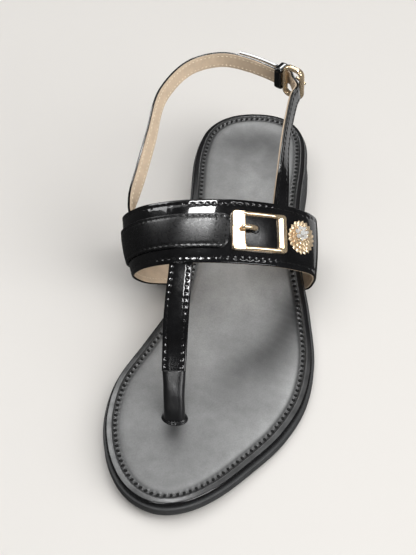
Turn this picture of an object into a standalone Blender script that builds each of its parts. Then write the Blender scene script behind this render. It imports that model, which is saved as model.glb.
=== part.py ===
"""Toe post sandal for the left foot.

A low-heeled unit sole carries a stitched footbed. One strap upper, with its ends held between
the two, is made of an instep band, a T-strap that runs down to the toe post, an ankle strap on the
medial side and a shorter strap on the lateral side. An overlay strap, an ornamental buckle and a
flower sit on the band, and a small buckle closes the ankle strap.

Sizes below are millimetres: +X is lateral, -Y points to the toes, +Z is up. The origin is on the
floor under the middle of the heel.
"""
import math

import bmesh
import bpy
import numpy as np

OBJECT_NAME = "toe_post_sandal"
MM = 0.001
SEAT_GAP = 0.3

# Sole and footbed
SOLE_LENGTH = 255.5
HEEL_CENTRE = 29.8
HEEL_SEAT_TOP = 22.0
BALL_TOP = 9.0
TOE_SPRING = 5.0
HEEL_SEAT_END = 53.0
BALL_START = 163.0
SPRING_START = 183.0
FOOTBED_THICK = 3.5
FOOTBED_ROUND = 1.0
BEND_MIDDLE = 1.0 - math.sqrt(0.5)
OUTSOLE_LEDGE = 1.2
OUTSOLE_ROUND = 1.2
HEEL_FLARE = 1.0
SHANK_THICK = 9.2
HEEL_BREAST = 64.0
HEEL_BREAST_RUN = 8.0
SOLE_STATIONS = 34

# Footbed outline: distance from the heel's back, then the medial and lateral edges
SOLE_ROWS = (
    # along, medial, lateral
    (0.0, 5.5, 5.5),
    (3.6, -12.2, 19.0),
    (17.8, -25.6, 29.2),
    (37.8, -28.4, 32.0),
    (67.8, -25.8, 32.8),
    (102.8, -22.0, 36.2),
    (132.8, -23.3, 44.2),
    (162.8, -33.7, 49.7),
    (187.8, -42.6, 48.0),
    (207.8, -43.5, 40.4),
    (227.8, -38.9, 27.0),
    (242.8, -31.0, 14.8),
    (SOLE_LENGTH, -9.4, -9.4),
)

# Instep band
BAND_THICK = 2.0
BAND_CROWN = 0.8
BAND_TUCK = 18.0
BAND_STEPS = 56
BAND_RIBS = 7
BAND_SAMPLES = 400
NORMAL_STEP = 0.4
IN_SEAM = None

# Band from the medial tuck, over the instep, to the lateral tuck; IN_SEAM lies under the footbed
BAND_ROWS = (
    # front x, y, z, rear x, y, z
    (-9.0, -93.0, IN_SEAM, -9.0, -63.0, IN_SEAM),
    (-25.5, -94.0, IN_SEAM, -25.5, -63.5, IN_SEAM),
    (-38.5, -104.0, 18.5, -46.5, -70.4, 23.0),
    (-42.6, -111.0, 31.0, -53.4, -80.4, 39.6),
    (-36.5, -115.5, 42.0, -44.3, -85.3, 53.0),
    (-22.7, -118.0, 50.8, -27.0, -87.8, 62.6),
    (-8.0, -115.8, 51.8, -8.9, -85.5, 64.6),
    (15.1, -109.4, 47.2, 12.0, -79.3, 60.0),
    (35.2, -101.5, 38.2, 32.8, -70.7, 49.2),
    (45.2, -93.8, 26.2, 42.0, -62.0, 34.5),
    (44.9, -90.0, 16.5, 41.2, -57.5, 23.0),
    (41.8, -88.0, IN_SEAM, 36.0, -55.0, IN_SEAM),
    (25.0, -87.0, IN_SEAM, 19.0, -54.0, IN_SEAM),
)

# Overlay strap, tab and ornaments, by their place on the band: across from its middle, and along
# from its centre line towards the heel
OVERLAY_THICK = 1.3
OVERLAY_ACROSS = (-84.0, 15.0)
OVERLAY_ALONG = (-9.2, 8.4)
OVERLAY_STEPS = 36
OVERLAY_RIBS = 5
BUCKLE_CENTRE = 30.2
BUCKLE_HALF = (14.0, 9.8)
BUCKLE_CORNER = 1.6
BUCKLE_THICK = 2.0
BUCKLE_WIDE_BAR = 7.0
BUCKLE_NARROW_BAR = 4.6
BUCKLE_RAIL = 2.0
BUCKLE_EASE = 0.5
TAB_THICK = 0.9
TAB_STEPS = 6
FLOWER_CENTRE = 54.6
FLOWER_ALONG = 1.0
FLOWER_RADIUS = 9.2
FLOWER_PETALS = 18
PETAL_POINTS = 4
FLOWER_HEIGHT = 2.2
STONE_RADIUS = 4.6
STONE_HEIGHT = 2.0
STONE_SIDES = 20
PRONG_RADIUS = 1.25
PRONG_LENGTH = 8.0
PRONG_OVER_BAR = 3.0
PRONG_ALONG = 1.0

# T-strap and toe post
T_THICK = 2.4
T_ACROSS = -6.8
T_ROOT = 9.0
T_ROOT_WIDTH = 11.6
T_STEPS = 20
STITCH_OVERLAP = 0.6
T_ROWS = (
    # x, y, z, width
    (-16.2, -132.0, 44.5, 12.0),
    (-15.0, -146.0, 38.0, 12.1),
    (-13.9, -156.0, 31.6, 11.7),
    (-13.2, -162.6, 26.6, 11.4),
)
POST_CORE = (5.2, 2.2)
POST_STEPS = 9
POST_SLOT_DEPTH = 2.0
POST_ROWS = (
    # x, y, z
    (-13.2, -162.0, 27.0),
    (-11.6, -172.0, 17.8),
    (-10.7, -177.2, 10.8),
    (-10.3, -178.6, 6.7),
)
SLEEVE_TOP = (11.0, 5.4)
SLEEVE_BASE = (10.0, 6.4)
SLEEVE_START = 1.5
SLEEVE_FOOT = 2.0
SLEEVE_SIDES = 16
COLLAR_RADIUS = 0.85
COLLAR_SLANT = 0.8
COLLAR_LIFT = 0.5
COLLAR_POINTS = 28

# Ankle straps: lean is the tilt of the strap's upper edge away from the foot, in degrees
STRAP_WIDTH = 8.6
STRAP_THICK = 2.0
STRAP_ROOT = 10.0
STRAP_STEPS = 44
ANKLE_ACROSS = -41.0
ANKLE_ROOT_LEAN = -20.0
ANKLE_ROWS = (
    # x, y, z, lean
    (-49.0, -79.0, 49.2, 8.0),
    (-47.1, -64.0, 56.8, 22.0),
    (-45.4, -46.0, 63.6, 22.0),
    (-43.2, -18.0, 70.8, 15.0),
    (-30.2, 3.2, 74.0, 7.0),
    (-16.0, 8.6, 75.0, 4.0),
    (-1.0, 7.4, 73.8, 2.0),
    (8.5, 4.6, 72.7, 0.0),
    (16.8, 0.2, 72.8, 0.0),
)
LATERAL_ACROSS = 42.5
LATERAL_ROOT_LEAN = -55.0
LATERAL_ROWS = (
    # x, y, z, lean
    (24.6, -17.0, 74.0, -16.0),
    (23.7, -30.0, 71.0, -17.0),
    (23.6, -45.0, 67.0, -21.0),
    (24.6, -60.0, 62.6, -36.0),
)
TAIL_LENGTH = 27.0
TAIL_ROWS = 5
TAIL_RISE = 0.4
RING_BAR = 1.6
RING_CLEAR = 1.0
RING_HALF = (5.2, 8.6)
RING_RISE = 0.8
RING_CORNER = 3.0
RING_WIRE = 1.0
RING_PRONG_RADIUS = 0.8
RING_PRONG_BACK = 1.2
RING_PRONG_TIP = 1.0
KEEPER_WIDTH = 4.2
KEEPER_THICK = 1.2
KEEPER_CORNER = 0.6
KEEPER_SLACK = 0.6
KEEPER_SETBACK = 2.3
PATH_SAMPLES = 80

# Colour, roughness and metallic value of each finish
FINISHES = {
    "sole_rubber": ((0.020, 0.020, 0.022), 0.55, 0.0),
    "footbed_leather": ((0.085, 0.085, 0.087), 0.45, 0.0),
    "patent_leather": ((0.006, 0.006, 0.007), 0.08, 0.0),
    "matte_leather": ((0.016, 0.016, 0.017), 0.36, 0.0),
    "gold_metal": ((0.80, 0.60, 0.36), 0.22, 1.0),
    "clear_stone": ((0.86, 0.87, 0.90), 0.06, 0.0),
}


def clear_scene():
    for item in list(bpy.data.objects):
        bpy.data.objects.remove(item, do_unlink=True)


def new_collection(name):
    collection = bpy.data.collections.new(name)
    bpy.context.scene.collection.children.link(collection)
    return collection


def finish_material(name):
    colour, roughness, metallic = FINISHES[name]
    material = bpy.data.materials.get(name)
    if material is None:
        material = bpy.data.materials.new(name)
        material.use_nodes = True
        shader = material.node_tree.nodes["Principled BSDF"]
        shader.inputs["Base Color"].default_value = (*colour, 1.0)
        shader.inputs["Roughness"].default_value = roughness
        shader.inputs["Metallic"].default_value = metallic
    return material


def smooth_curve(knots, values, at):
    """Cubic through every row, with slopes taken from the neighbouring rows."""
    knots = np.asarray(knots, float)
    values = np.asarray(values, float).reshape(len(knots), -1)
    slopes = np.gradient(values, knots, axis=0)
    at = np.clip(np.atleast_1d(at), knots[0], knots[-1])
    left = np.clip(np.searchsorted(knots, at, side="right") - 1, 0, len(knots) - 2)
    span = (knots[left + 1] - knots[left])[:, None]
    t = ((at - knots[left]) / span[:, 0])[:, None]
    start = (1 + 2 * t) * (1 - t) ** 2 * values[left] + t * (1 - t) ** 2 * span * slopes[left]
    end = t * t * (3 - 2 * t) * values[left + 1] + t * t * (t - 1) * span * slopes[left + 1]
    return start + end


def chord_lengths(points):
    steps = np.linalg.norm(np.diff(np.asarray(points, float), axis=0), axis=1)
    return np.concatenate([[0.0], np.cumsum(steps)])


def smooth_step(start, end, at):
    t = np.clip((at - start) / (end - start), 0.0, 1.0)
    return t * t * (3.0 - 2.0 * t)


def spring_rise(along):
    return TOE_SPRING * np.clip((along - SPRING_START) / (SOLE_LENGTH - SPRING_START), 0.0, 1.0) ** 2


def footbed_top(along):
    """Height of the footbed: level heel seat, arch, ball and toe spring."""
    fall = smooth_step(HEEL_SEAT_END, BALL_START, along)
    return HEEL_SEAT_TOP + (BALL_TOP - HEEL_SEAT_TOP) * fall + spring_rise(along)


def sole_bottom(along):
    """Height of the tread: flat heel, heel breast, raised shank, flat ball and toe spring."""
    shank = np.maximum(footbed_top(along) - SHANK_THICK, 0.0)
    breast = smooth_step(HEEL_BREAST, HEEL_BREAST + HEEL_BREAST_RUN, along)
    return np.where(along < SPRING_START, shank * breast, spring_rise(along))


def along_of(y):
    return HEEL_CENTRE - y


def tread_ledge(along):
    """How far the tread stands out past the footbed: a little more round the heel."""
    return OUTSOLE_LEDGE + HEEL_FLARE * (1.0 - smooth_step(HEEL_SEAT_END, BALL_START, along))


def seam_height(y):
    """Height of the band's middle layer where it lies under the footbed."""
    return float(footbed_top(along_of(y)) - FOOTBED_THICK - SEAT_GAP - BAND_THICK / 2)


def sole_outline():
    """Closed outline, up the medial edge to the toe and back, with each point's distance along."""
    rows = np.array(SOLE_ROWS)
    turns = np.arccos(1.0 - 2.0 * rows[:, 0] / SOLE_LENGTH)
    at = np.linspace(0.0, math.pi, SOLE_STATIONS + 1)
    edges = smooth_curve(turns, rows[:, 1:], at)
    along = SOLE_LENGTH * (1.0 - np.cos(at)) / 2.0
    medial = np.column_stack([edges[:, 0], HEEL_CENTRE - along])
    lateral = np.column_stack([edges[:, 1], HEEL_CENTRE - along])
    outline = np.vstack([medial, lateral[-2:0:-1]])
    return outline, np.concatenate([along, along[-2:0:-1]])


def offset_outline(outline, distance):
    """Outline moved out by one distance, or by one for each of its points."""
    ahead = np.roll(outline, -1, axis=0) - np.roll(outline, 1, axis=0)
    ahead /= np.linalg.norm(ahead, axis=1)[:, None]
    outward = np.column_stack([ahead[:, 1], -ahead[:, 0]])
    x, y = outline.T
    area = np.sum(x * np.roll(y, -1) - np.roll(x, -1) * y)
    return outline + outward * np.sign(area) * np.reshape(distance, (-1, 1))


def mesh_object(name, points, faces, finish, collection, angle=35.0):
    """Closed mesh from millimetre points, shaded smooth, with its faces pointing out."""
    mesh = bpy.data.meshes.new(name)
    mesh.from_pydata([tuple(float(c) * MM for c in p) for p in points], [], faces)
    shell = bmesh.new()
    shell.from_mesh(mesh)
    bmesh.ops.recalc_face_normals(shell, faces=shell.faces)
    shell.to_mesh(mesh)
    shell.free()
    mesh.shade_smooth()
    mesh.set_sharp_from_angle(angle=math.radians(angle))
    item = bpy.data.objects.new(name, mesh)
    item.data.materials.append(finish_material(finish))
    collection.objects.link(item)
    return item


def loft(name, rings, finish, collection, closed=False):
    """Skin between rings of equal count; open lofts are capped at both ends."""
    count = len(rings[0])
    points = [p for ring in rings for p in ring]
    faces = []
    bays = len(rings) if closed else len(rings) - 1
    for i in range(bays):
        a, b = i * count, ((i + 1) % len(rings)) * count
        faces += [(a + k, a + (k + 1) % count, b + (k + 1) % count, b + k) for k in range(count)]
    if not closed:
        faces.append(tuple(range(count)))
        faces.append(tuple(range(len(points) - count, len(points))))
    return mesh_object(name, points, faces, finish, collection)


def sole_plate(name, levels, finish, collection):
    """Stack of sole outlines, each with its own offset and height, closed above and below."""
    outline, along = sole_outline()
    count = len(outline)
    half = count // 2
    points = []
    for offset, height in levels:
        distance = offset(along) if callable(offset) else offset
        points += [(x, y, z) for (x, y), z in zip(offset_outline(outline, distance), height(along))]
    faces = []
    for level in range(len(levels) - 1):
        a, b = level * count, (level + 1) * count
        faces += [(a + k, a + (k + 1) % count, b + (k + 1) % count, b + k) for k in range(count)]
    for base in (0, (len(levels) - 1) * count):
        for i in range(half):
            corners = (i, i + 1, count - i - 1, (count - i) % count)
            faces.append(tuple(base + k for k in dict.fromkeys(corners)))
    return mesh_object(name, points, faces, finish, collection)


class Band:
    """Surface of the instep band, by distance across, distance along and lift off its middle layer."""

    def __init__(self):
        rows = [self.fill_seam(row) for row in BAND_ROWS]
        table = np.array(rows, float)
        self.front, self.rear = table[:, :3], table[:, 3:]
        self.knots = chord_lengths((self.front + self.rear) / 2)
        self.samples = np.linspace(0.0, self.knots[-1], BAND_SAMPLES)
        middle = (smooth_curve(self.knots, self.front, self.samples)
                  + smooth_curve(self.knots, self.rear, self.samples)) / 2
        self.lengths = chord_lengths(middle)
        self.lengths -= self.lengths[int(np.argmax(middle[:, 2]))]
        crest = int(np.argmax(self.rear[:, 2]))
        self.width = float(np.linalg.norm(self.front[crest] - self.rear[crest]))

    @staticmethod
    def fill_seam(row):
        front_x, front_y, front_z, rear_x, rear_y, rear_z = row
        front_z = seam_height(front_y) if front_z is IN_SEAM else front_z
        rear_z = seam_height(rear_y) if rear_z is IN_SEAM else rear_z
        return front_x, front_y, front_z, rear_x, rear_y, rear_z

    def ends(self):
        return self.lengths[0] + SEAT_GAP, self.lengths[-1] - SEAT_GAP

    def middle_layer(self, across, along):
        knot = np.interp(across, self.lengths, self.samples)
        front = smooth_curve(self.knots, self.front, knot)[0]
        rear = smooth_curve(self.knots, self.rear, knot)[0]
        return front + (rear - front) * (0.5 + along / self.width)

    def normal(self, across, along):
        step = NORMAL_STEP
        ahead = self.middle_layer(across + step, along) - self.middle_layer(across - step, along)
        back = self.middle_layer(across, along + step) - self.middle_layer(across, along - step)
        out = np.cross(ahead, back)
        return out / np.linalg.norm(out)

    def point(self, across, along, lift):
        clear = min(across - self.lengths[0], self.lengths[-1] - across)
        crown = BAND_CROWN * smooth_step(BAND_TUCK, 2.0 * BAND_TUCK, clear)
        crown *= 1.0 - (2.0 * along / self.width) ** 2
        return self.middle_layer(across, along) + self.normal(across, along) * (lift + crown)

    def strip_rings(self, across, along, lifts, steps, ribs, spare=0.0):
        """Rings of a strip of the band between two distances across, along and off its middle layer."""
        places = np.linspace(across[0], across[1], steps + 1)
        places[0] -= spare
        places[-1] += spare
        rings = []
        for a in places:
            low = [self.point(a, b, lifts[0]) for b in np.linspace(along[0], along[1], ribs)]
            high = [self.point(a, b, lifts[1]) for b in np.linspace(along[1], along[0], ribs)]
            rings.append(low + high)
        return rings


def rounded_rectangle(half_a, half_b, corner, per_corner=4, per_side=6):
    """Points around a rectangle with round corners, the same count whatever its size."""
    points = []
    for k, (sign_a, sign_b) in enumerate(((1, 1), (-1, 1), (-1, -1), (1, -1))):
        centre = np.array([sign_a * (half_a - corner), sign_b * (half_b - corner)])
        for i in range(per_corner + 1):
            turn = math.radians(90.0 * (k + i / per_corner))
            points.append(centre + corner * np.array([math.cos(turn), math.sin(turn)]))
        if k % 2 == 0:
            run = np.array([-2.0 * sign_a * (half_a - corner), 0.0])
        else:
            run = np.array([0.0, -2.0 * sign_b * (half_b - corner)])
        last = points[-1]
        points += [last + run * i / per_side for i in range(1, per_side)]
    return points


def frame_rows(rows, samples):
    """Smooth path through strap rows, with tangents and the remaining columns carried along."""
    table = np.array(rows, float)
    knots = chord_lengths(table[:, :3])
    at = np.linspace(0.0, knots[-1], samples)
    values = smooth_curve(knots, table, at)
    tangents = np.gradient(values[:, :3], at, axis=0)
    tangents /= np.linalg.norm(tangents, axis=1)[:, None]
    return values, tangents


def flat_ring(centre, wide, out, width, thick, edge=0.5):
    """Flat strap section with eased edges."""
    w, t = width / 2, thick / 2
    corners = ((w, t - edge), (w - edge, t), (edge - w, t), (-w, t - edge),
               (-w, edge - t), (edge - w, -t), (w - edge, -t), (w, edge - t))
    return [centre + wide * a + out * b for a, b in corners]


def oval_ring(centre, wide, out, width, thick, sides=12):
    turns = [2.0 * math.pi * k / sides for k in range(sides)]
    return [centre + wide * (width / 2 * math.cos(t)) + out * (thick / 2 * math.sin(t)) for t in turns]


def leaning_axes(tangent, lean):
    """Width direction of an ankle strap and the direction away from the foot."""
    up = np.array([0.0, 0.0, 1.0])
    wide = up - tangent * np.dot(up, tangent)
    wide /= np.linalg.norm(wide)
    out = np.cross(wide, tangent)
    turn = math.radians(lean)
    return wide * math.cos(turn) + out * math.sin(turn), out * math.cos(turn) - wide * math.sin(turn)


def tongue_axes(tangent):
    """Width direction of the T-strap, level across the foot, and the direction off its top."""
    side = np.array([1.0, 0.0, 0.0])
    wide = side - tangent * np.dot(side, tangent)
    wide /= np.linalg.norm(wide)
    return wide, np.cross(tangent, wide)


def boolean(item, other, operation):
    modifier = item.modifiers.new(operation.title(), "BOOLEAN")
    modifier.operation = operation
    modifier.solver = "EXACT"
    modifier.object = other
    other.hide_render = True
    other.display_type = "WIRE"


def frame_loop(name, outer, inner, heights, place, finish, collection, ease=0.0):
    """Flat frame between two loops of equal count, put in place by a function of two axes and lift."""
    low, high = heights
    rings = []
    for (a, b), (c, d) in zip(outer, inner):
        rim = np.array([c - a, d - b])
        rim = rim / np.linalg.norm(rim) * ease
        ring = [place(a, b, low)]
        if ease:
            ring += [place(a, b, high - ease), place(a + rim[0], b + rim[1], high)]
            ring += [place(c - rim[0], d - rim[1], high), place(c, d, high - ease)]
        else:
            ring += [place(a, b, high), place(c, d, high)]
        rings.append(ring + [place(c, d, low)])
    return loft(name, rings, finish, collection, closed=True)


def wire(name, path, radius, finish, collection, closed=False):
    """Round wire bent along a path, with filled ends where it is open."""
    curve = bpy.data.curves.new(name, "CURVE")
    curve.dimensions = "3D"
    curve.bevel_depth = radius * MM
    curve.bevel_resolution = 2
    curve.use_fill_caps = not closed
    spline = curve.splines.new("POLY")
    spline.points.add(len(path) - 1)
    for point, place in zip(spline.points, path):
        point.co = (*(float(c) * MM for c in place), 1.0)
    spline.use_cyclic_u = closed
    spline.use_smooth = True
    item = bpy.data.objects.new(name, curve)
    curve.materials.append(finish_material(finish))
    collection.objects.link(item)
    return item


def build_sole(band, parts, cutters):
    seam = FOOTBED_THICK + SEAT_GAP
    outsole = sole_plate("outsole", (
        (lambda s: tread_ledge(s) - OUTSOLE_ROUND, sole_bottom),
        (tread_ledge, lambda s: sole_bottom(s) + OUTSOLE_ROUND),
        (OUTSOLE_LEDGE, lambda s: footbed_top(s) - seam - OUTSOLE_ROUND / 2),
        (OUTSOLE_LEDGE - OUTSOLE_ROUND / 2, lambda s: footbed_top(s) - seam),
    ), "sole_rubber", parts)
    insole = sole_plate("insole", (
        (0.0, lambda s: footbed_top(s) - FOOTBED_THICK),
        (0.0, lambda s: footbed_top(s) - FOOTBED_ROUND),
        (-FOOTBED_ROUND * BEND_MIDDLE, lambda s: footbed_top(s) - FOOTBED_ROUND * BEND_MIDDLE),
        (-FOOTBED_ROUND, footbed_top),
    ), "footbed_leather", parts)

    half = band.width / 2 + SEAT_GAP
    reach = BAND_THICK / 2 + SEAT_GAP
    rings = band.strip_rings(band.ends(), (-half, half), (-reach, reach), BAND_STEPS, BAND_RIBS, SEAT_GAP)
    boolean(outsole, loft("band_recess", rings, "sole_rubber", cutters), "DIFFERENCE")

    slot = [size + 4.0 * SEAT_GAP for size in POST_CORE]
    rings = core_rings(*slot, stretch=POST_SLOT_DEPTH)
    boolean(insole, loft("post_slot", rings, "footbed_leather", cutters), "DIFFERENCE")


def core_rings(width, thick, stretch=0.0, sides=12):
    """Sections down the toe post, from inside the end of the T-strap to below the footbed's top."""
    values, tangents = frame_rows(POST_ROWS, POST_STEPS)
    points = values[:, :3].copy()
    points[-1] += tangents[-1] * stretch
    return [oval_ring(point, *tongue_axes(tangent), width, thick, sides)
            for point, tangent in zip(points, tangents)]


def t_strap_rows(band):
    """T-strap from its stitched end under the band, past the band's front edge and down to the post."""
    lift = -(BAND_THICK + T_THICK) / 2 + STITCH_OVERLAP
    front = -band.width / 2
    under = [band.point(T_ACROSS, front + run, lift) for run in (T_ROOT, 0.0)]
    root = [(*point, T_ROOT_WIDTH) for point in under]
    return root + list(T_ROWS)


def ankle_rows(band):
    """Ankle strap from its stitched end inside the band, round the back of the ankle to its buckle."""
    lift = -(BAND_THICK + STRAP_THICK) / 2 + STITCH_OVERLAP
    rear = band.width / 2
    inside = [band.point(ANKLE_ACROSS, rear - run, lift) for run in (STRAP_ROOT, STRAP_ROOT / 3)]
    return [(*point, ANKLE_ROOT_LEAN) for point in inside] + list(ANKLE_ROWS)


def buckle_axes():
    """End of the ankle strap: its middle, the way it heads, its width direction and the way out."""
    values, tangents = frame_rows(ANKLE_ROWS, PATH_SAMPLES)
    wide, out = leaning_axes(tangents[-1], values[-1][3])
    return values[-1][:3], tangents[-1], wide, out


def lateral_rows(band):
    """Lateral strap from the tip of its tail, outside the ankle strap, through the buckle to the band."""
    values, tangents = frame_rows(ANKLE_ROWS, PATH_SAMPLES)
    walked = chord_lengths(values[:, :3])
    stand_off = STRAP_THICK + SEAT_GAP
    rows = []
    for back in np.linspace(TAIL_LENGTH, 0.0, TAIL_ROWS):
        k = int(np.argmin(np.abs(walked - (walked[-1] - back))))
        wide, out = leaning_axes(tangents[k], values[k][3])
        rows.append((*(values[k][:3] + out * stand_off + wide * TAIL_RISE), values[k][3]))
    end, ahead, wide, out = buckle_axes()
    through = (
        # along the ring, way out, lean
        (RING_BAR, stand_off + RING_CLEAR, -4.0),
        (RING_BAR + RING_HALF[0], 0.0, -6.0),
        (RING_BAR + 2.0 * RING_HALF[0], -stand_off - RING_CLEAR, -8.0),
    )
    for run, off, lean in through:
        rows.append((*(end + ahead * run + out * off + wide * TAIL_RISE / 2), lean))
    lift = -(BAND_THICK + STRAP_THICK) / 2 + STITCH_OVERLAP
    rear = band.width / 2
    under = [band.point(LATERAL_ACROSS, rear - run, lift) for run in (STRAP_ROOT / 2, STRAP_ROOT)]
    return rows + list(LATERAL_ROWS) + [(*point, LATERAL_ROOT_LEAN) for point in under]


def ankle_rings(rows):
    values, tangents = frame_rows(rows, STRAP_STEPS)
    return [flat_ring(value[:3], *leaning_axes(tangent, value[3]), STRAP_WIDTH, STRAP_THICK)
            for value, tangent in zip(values, tangents)]


def build_upper(band, parts, cutters):
    half = band.width / 2
    lifts = (-BAND_THICK / 2, BAND_THICK / 2)
    rings = band.strip_rings(band.ends(), (-half, half), lifts, BAND_STEPS, BAND_RIBS)
    upper = loft("upper", rings, "patent_leather", parts)

    values, tangents = frame_rows(t_strap_rows(band), T_STEPS)
    rings = [flat_ring(value[:3], *tongue_axes(tangent), value[3], T_THICK)
             for value, tangent in zip(values, tangents)]
    straps = [
        loft("t_strap", rings, "patent_leather", cutters),
        loft("post_core", core_rings(*POST_CORE), "patent_leather", cutters),
        loft("ankle_strap", ankle_rings(ankle_rows(band)), "patent_leather", cutters),
        loft("lateral_strap", ankle_rings(lateral_rows(band)), "patent_leather", cutters),
    ]
    for strap in straps:
        boolean(upper, strap, "UNION")


def build_post(parts):
    """Sleeve round the toe post and the collar where it meets the footbed."""
    values, tangents = frame_rows(POST_ROWS, PATH_SAMPLES)
    walked = chord_lengths(values[:, :3])
    foot = values[:, 2] - footbed_top(along_of(values[:, 1]))
    first = int(np.argmax(walked > SLEEVE_START))
    last = int(np.argmax(foot < SLEEVE_FOOT))
    picks = np.linspace(first, last, POST_STEPS).astype(int)
    bore = [size + 2.0 * SEAT_GAP for size in POST_CORE]
    outer, inner = [], []
    for share, k in zip(np.linspace(0.0, 1.0, len(picks)), picks):
        axes = tongue_axes(tangents[k])
        width, thick = (top + (base - top) * share for top, base in zip(SLEEVE_TOP, SLEEVE_BASE))
        outer.append(oval_ring(values[k][:3], *axes, width, thick, SLEEVE_SIDES))
        inner.append(oval_ring(values[k][:3], *axes, *bore, SLEEVE_SIDES))
    rings = [[ring[k] for ring in outer] + [ring[k] for ring in reversed(inner)]
             for k in range(SLEEVE_SIDES)]
    loft("toe_post_sleeve", rings, "matte_leather", parts, closed=True)

    centre = values[last][:3]
    height = footbed_top(along_of(centre[1])) + COLLAR_LIFT + COLLAR_RADIUS
    clear = COLLAR_RADIUS + SEAT_GAP
    reach = (SLEEVE_BASE[0] / 2 + clear, SLEEVE_BASE[1] / 2 + clear + COLLAR_SLANT)
    middle = np.array([centre[0], centre[1], height])
    path = oval_ring(middle, np.array([1.0, 0.0, 0.0]), np.array([0.0, 1.0, 0.0]),
                     2.0 * reach[0], 2.0 * reach[1], COLLAR_POINTS)
    wire("toe_post_collar", path, COLLAR_RADIUS, "matte_leather", parts, closed=True)


def build_overlay(band, parts):
    base = BAND_THICK / 2 + SEAT_GAP
    lifts = (base, base + OVERLAY_THICK)
    rings = band.strip_rings(OVERLAY_ACROSS, OVERLAY_ALONG, lifts, OVERLAY_STEPS, OVERLAY_RIBS)
    loft("overlay_strap", rings, "matte_leather", parts)

    def place(a, b, h):
        return band.point(BUCKLE_CENTRE + a, b, base + h)

    outer = rounded_rectangle(*BUCKLE_HALF, BUCKLE_CORNER)
    bars = (BUCKLE_WIDE_BAR + BUCKLE_NARROW_BAR) / 2
    opening = (BUCKLE_HALF[0] - bars, BUCKLE_HALF[1] - BUCKLE_RAIL)
    shift = (BUCKLE_WIDE_BAR - BUCKLE_NARROW_BAR) / 2
    inner = [(a + shift, b) for a, b in rounded_rectangle(*opening, BUCKLE_CORNER / 2)]
    frame_loop("ornament_buckle", outer, inner, (0.0, BUCKLE_THICK), place, "gold_metal", parts, BUCKLE_EASE)

    tab = [half - SEAT_GAP for half in opening]
    across = (BUCKLE_CENTRE + shift - tab[0], BUCKLE_CENTRE + shift + tab[0])
    lifts = (base, base + TAB_THICK)
    rings = band.strip_rings(across, (-tab[1], tab[1]), lifts, TAB_STEPS, OVERLAY_RIBS)
    loft("buckle_tab", rings, "matte_leather", parts)

    bar_edge = shift - opening[0]
    over_bar = BUCKLE_THICK + SEAT_GAP + PRONG_RADIUS
    on_tab = TAB_THICK + SEAT_GAP + PRONG_RADIUS
    prong = (
        # run past the bar's edge, height of the prong's middle
        (-PRONG_OVER_BAR, over_bar),
        (0.0, over_bar),
        (PRONG_LENGTH / 3, over_bar),
        (PRONG_LENGTH * 0.6, (over_bar + on_tab) / 2),
        (PRONG_LENGTH - PRONG_OVER_BAR, on_tab),
    )
    path = [place(bar_edge + run, PRONG_ALONG, lift) for run, lift in prong]
    wire("ornament_prong", path, PRONG_RADIUS, "gold_metal", parts)


def petal_ring(band, radius, lift, count, lobes=0.0):
    """Ring about the flower's centre, drawn in between the petals."""
    points = []
    for k in range(count):
        turn = 2.0 * math.pi * k / count
        reach = radius * (1.0 - lobes * (1.0 - abs(math.cos(turn * FLOWER_PETALS / 2))))
        across, along = FLOWER_CENTRE + reach * math.cos(turn), FLOWER_ALONG + reach * math.sin(turn)
        points.append(band.point(across, along, lift))
    return points


def build_flower(band, parts):
    """Petalled disc with a domed cluster of stones on it."""
    base = BAND_THICK / 2 + SEAT_GAP
    petals = (
        # share of the radius, share of the height, depth between petals
        (0.86, 0.0, 0.10),
        (1.0, 0.35, 0.16),
        (0.88, 0.85, 0.12),
        (0.55, 1.0, 0.0),
    )
    count = FLOWER_PETALS * PETAL_POINTS
    rings = [petal_ring(band, FLOWER_RADIUS * r, base + FLOWER_HEIGHT * h, count, lobes)
             for r, h, lobes in petals]
    loft("flower_petals", rings, "gold_metal", parts)

    base += FLOWER_HEIGHT + SEAT_GAP
    dome = (
        # share of the radius, share of the height
        (1.0, 0.0),
        (0.92, 0.45),
        (0.70, 0.80),
        (0.35, 1.0),
    )
    rings = [petal_ring(band, STONE_RADIUS * r, base + STONE_HEIGHT * h, STONE_SIDES) for r, h in dome]
    loft("flower_stones", rings, "clear_stone", parts)


def build_ankle_buckle(parts):
    end, ahead, wide, out = buckle_axes()
    centre = end + ahead * (RING_BAR + RING_HALF[0]) + wide * RING_RISE

    def place(a, b, h):
        return centre + ahead * a + wide * b + out * h

    path = [place(a, b, 0.0) for a, b in rounded_rectangle(*RING_HALF, RING_CORNER)]
    wire("ankle_buckle", path, RING_WIRE, "gold_metal", parts, closed=True)

    rest = RING_WIRE + SEAT_GAP + RING_PRONG_RADIUS
    prong = (
        # run along the ring from its middle, way out
        (-RING_PRONG_BACK, STRAP_THICK + rest),
        (RING_HALF[0] / 2, STRAP_THICK + rest / 2),
        (RING_HALF[0] + RING_PRONG_TIP, rest),
    )
    path = [place(run, TAIL_RISE / 2, lift) for run, lift in prong]
    wire("ankle_prong", path, RING_PRONG_RADIUS, "gold_metal", parts)

    values, tangents = frame_rows(ANKLE_ROWS, PATH_SAMPLES)
    walked = chord_lengths(values[:, :3])
    k = int(np.argmin(np.abs(walked - (walked[-1] - KEEPER_SETBACK))))
    wide, out = leaning_axes(tangents[k], values[k][3])
    middle = values[k][:3] + out * (STRAP_THICK + SEAT_GAP + KEEPER_SLACK) / 2 + wide * TAIL_RISE / 2
    hole = ((STRAP_WIDTH + TAIL_RISE) / 2 + 2.0 * SEAT_GAP, STRAP_THICK + SEAT_GAP + KEEPER_SLACK)
    inner = rounded_rectangle(*hole, KEEPER_CORNER)
    outer = rounded_rectangle(*(half + KEEPER_THICK for half in hole), KEEPER_CORNER + KEEPER_THICK)
    frame_loop("strap_keeper", outer, inner, (-KEEPER_WIDTH / 2, KEEPER_WIDTH / 2),
               lambda a, b, h: middle + wide * a + out * b + tangents[k] * h, "patent_leather", parts)


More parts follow.
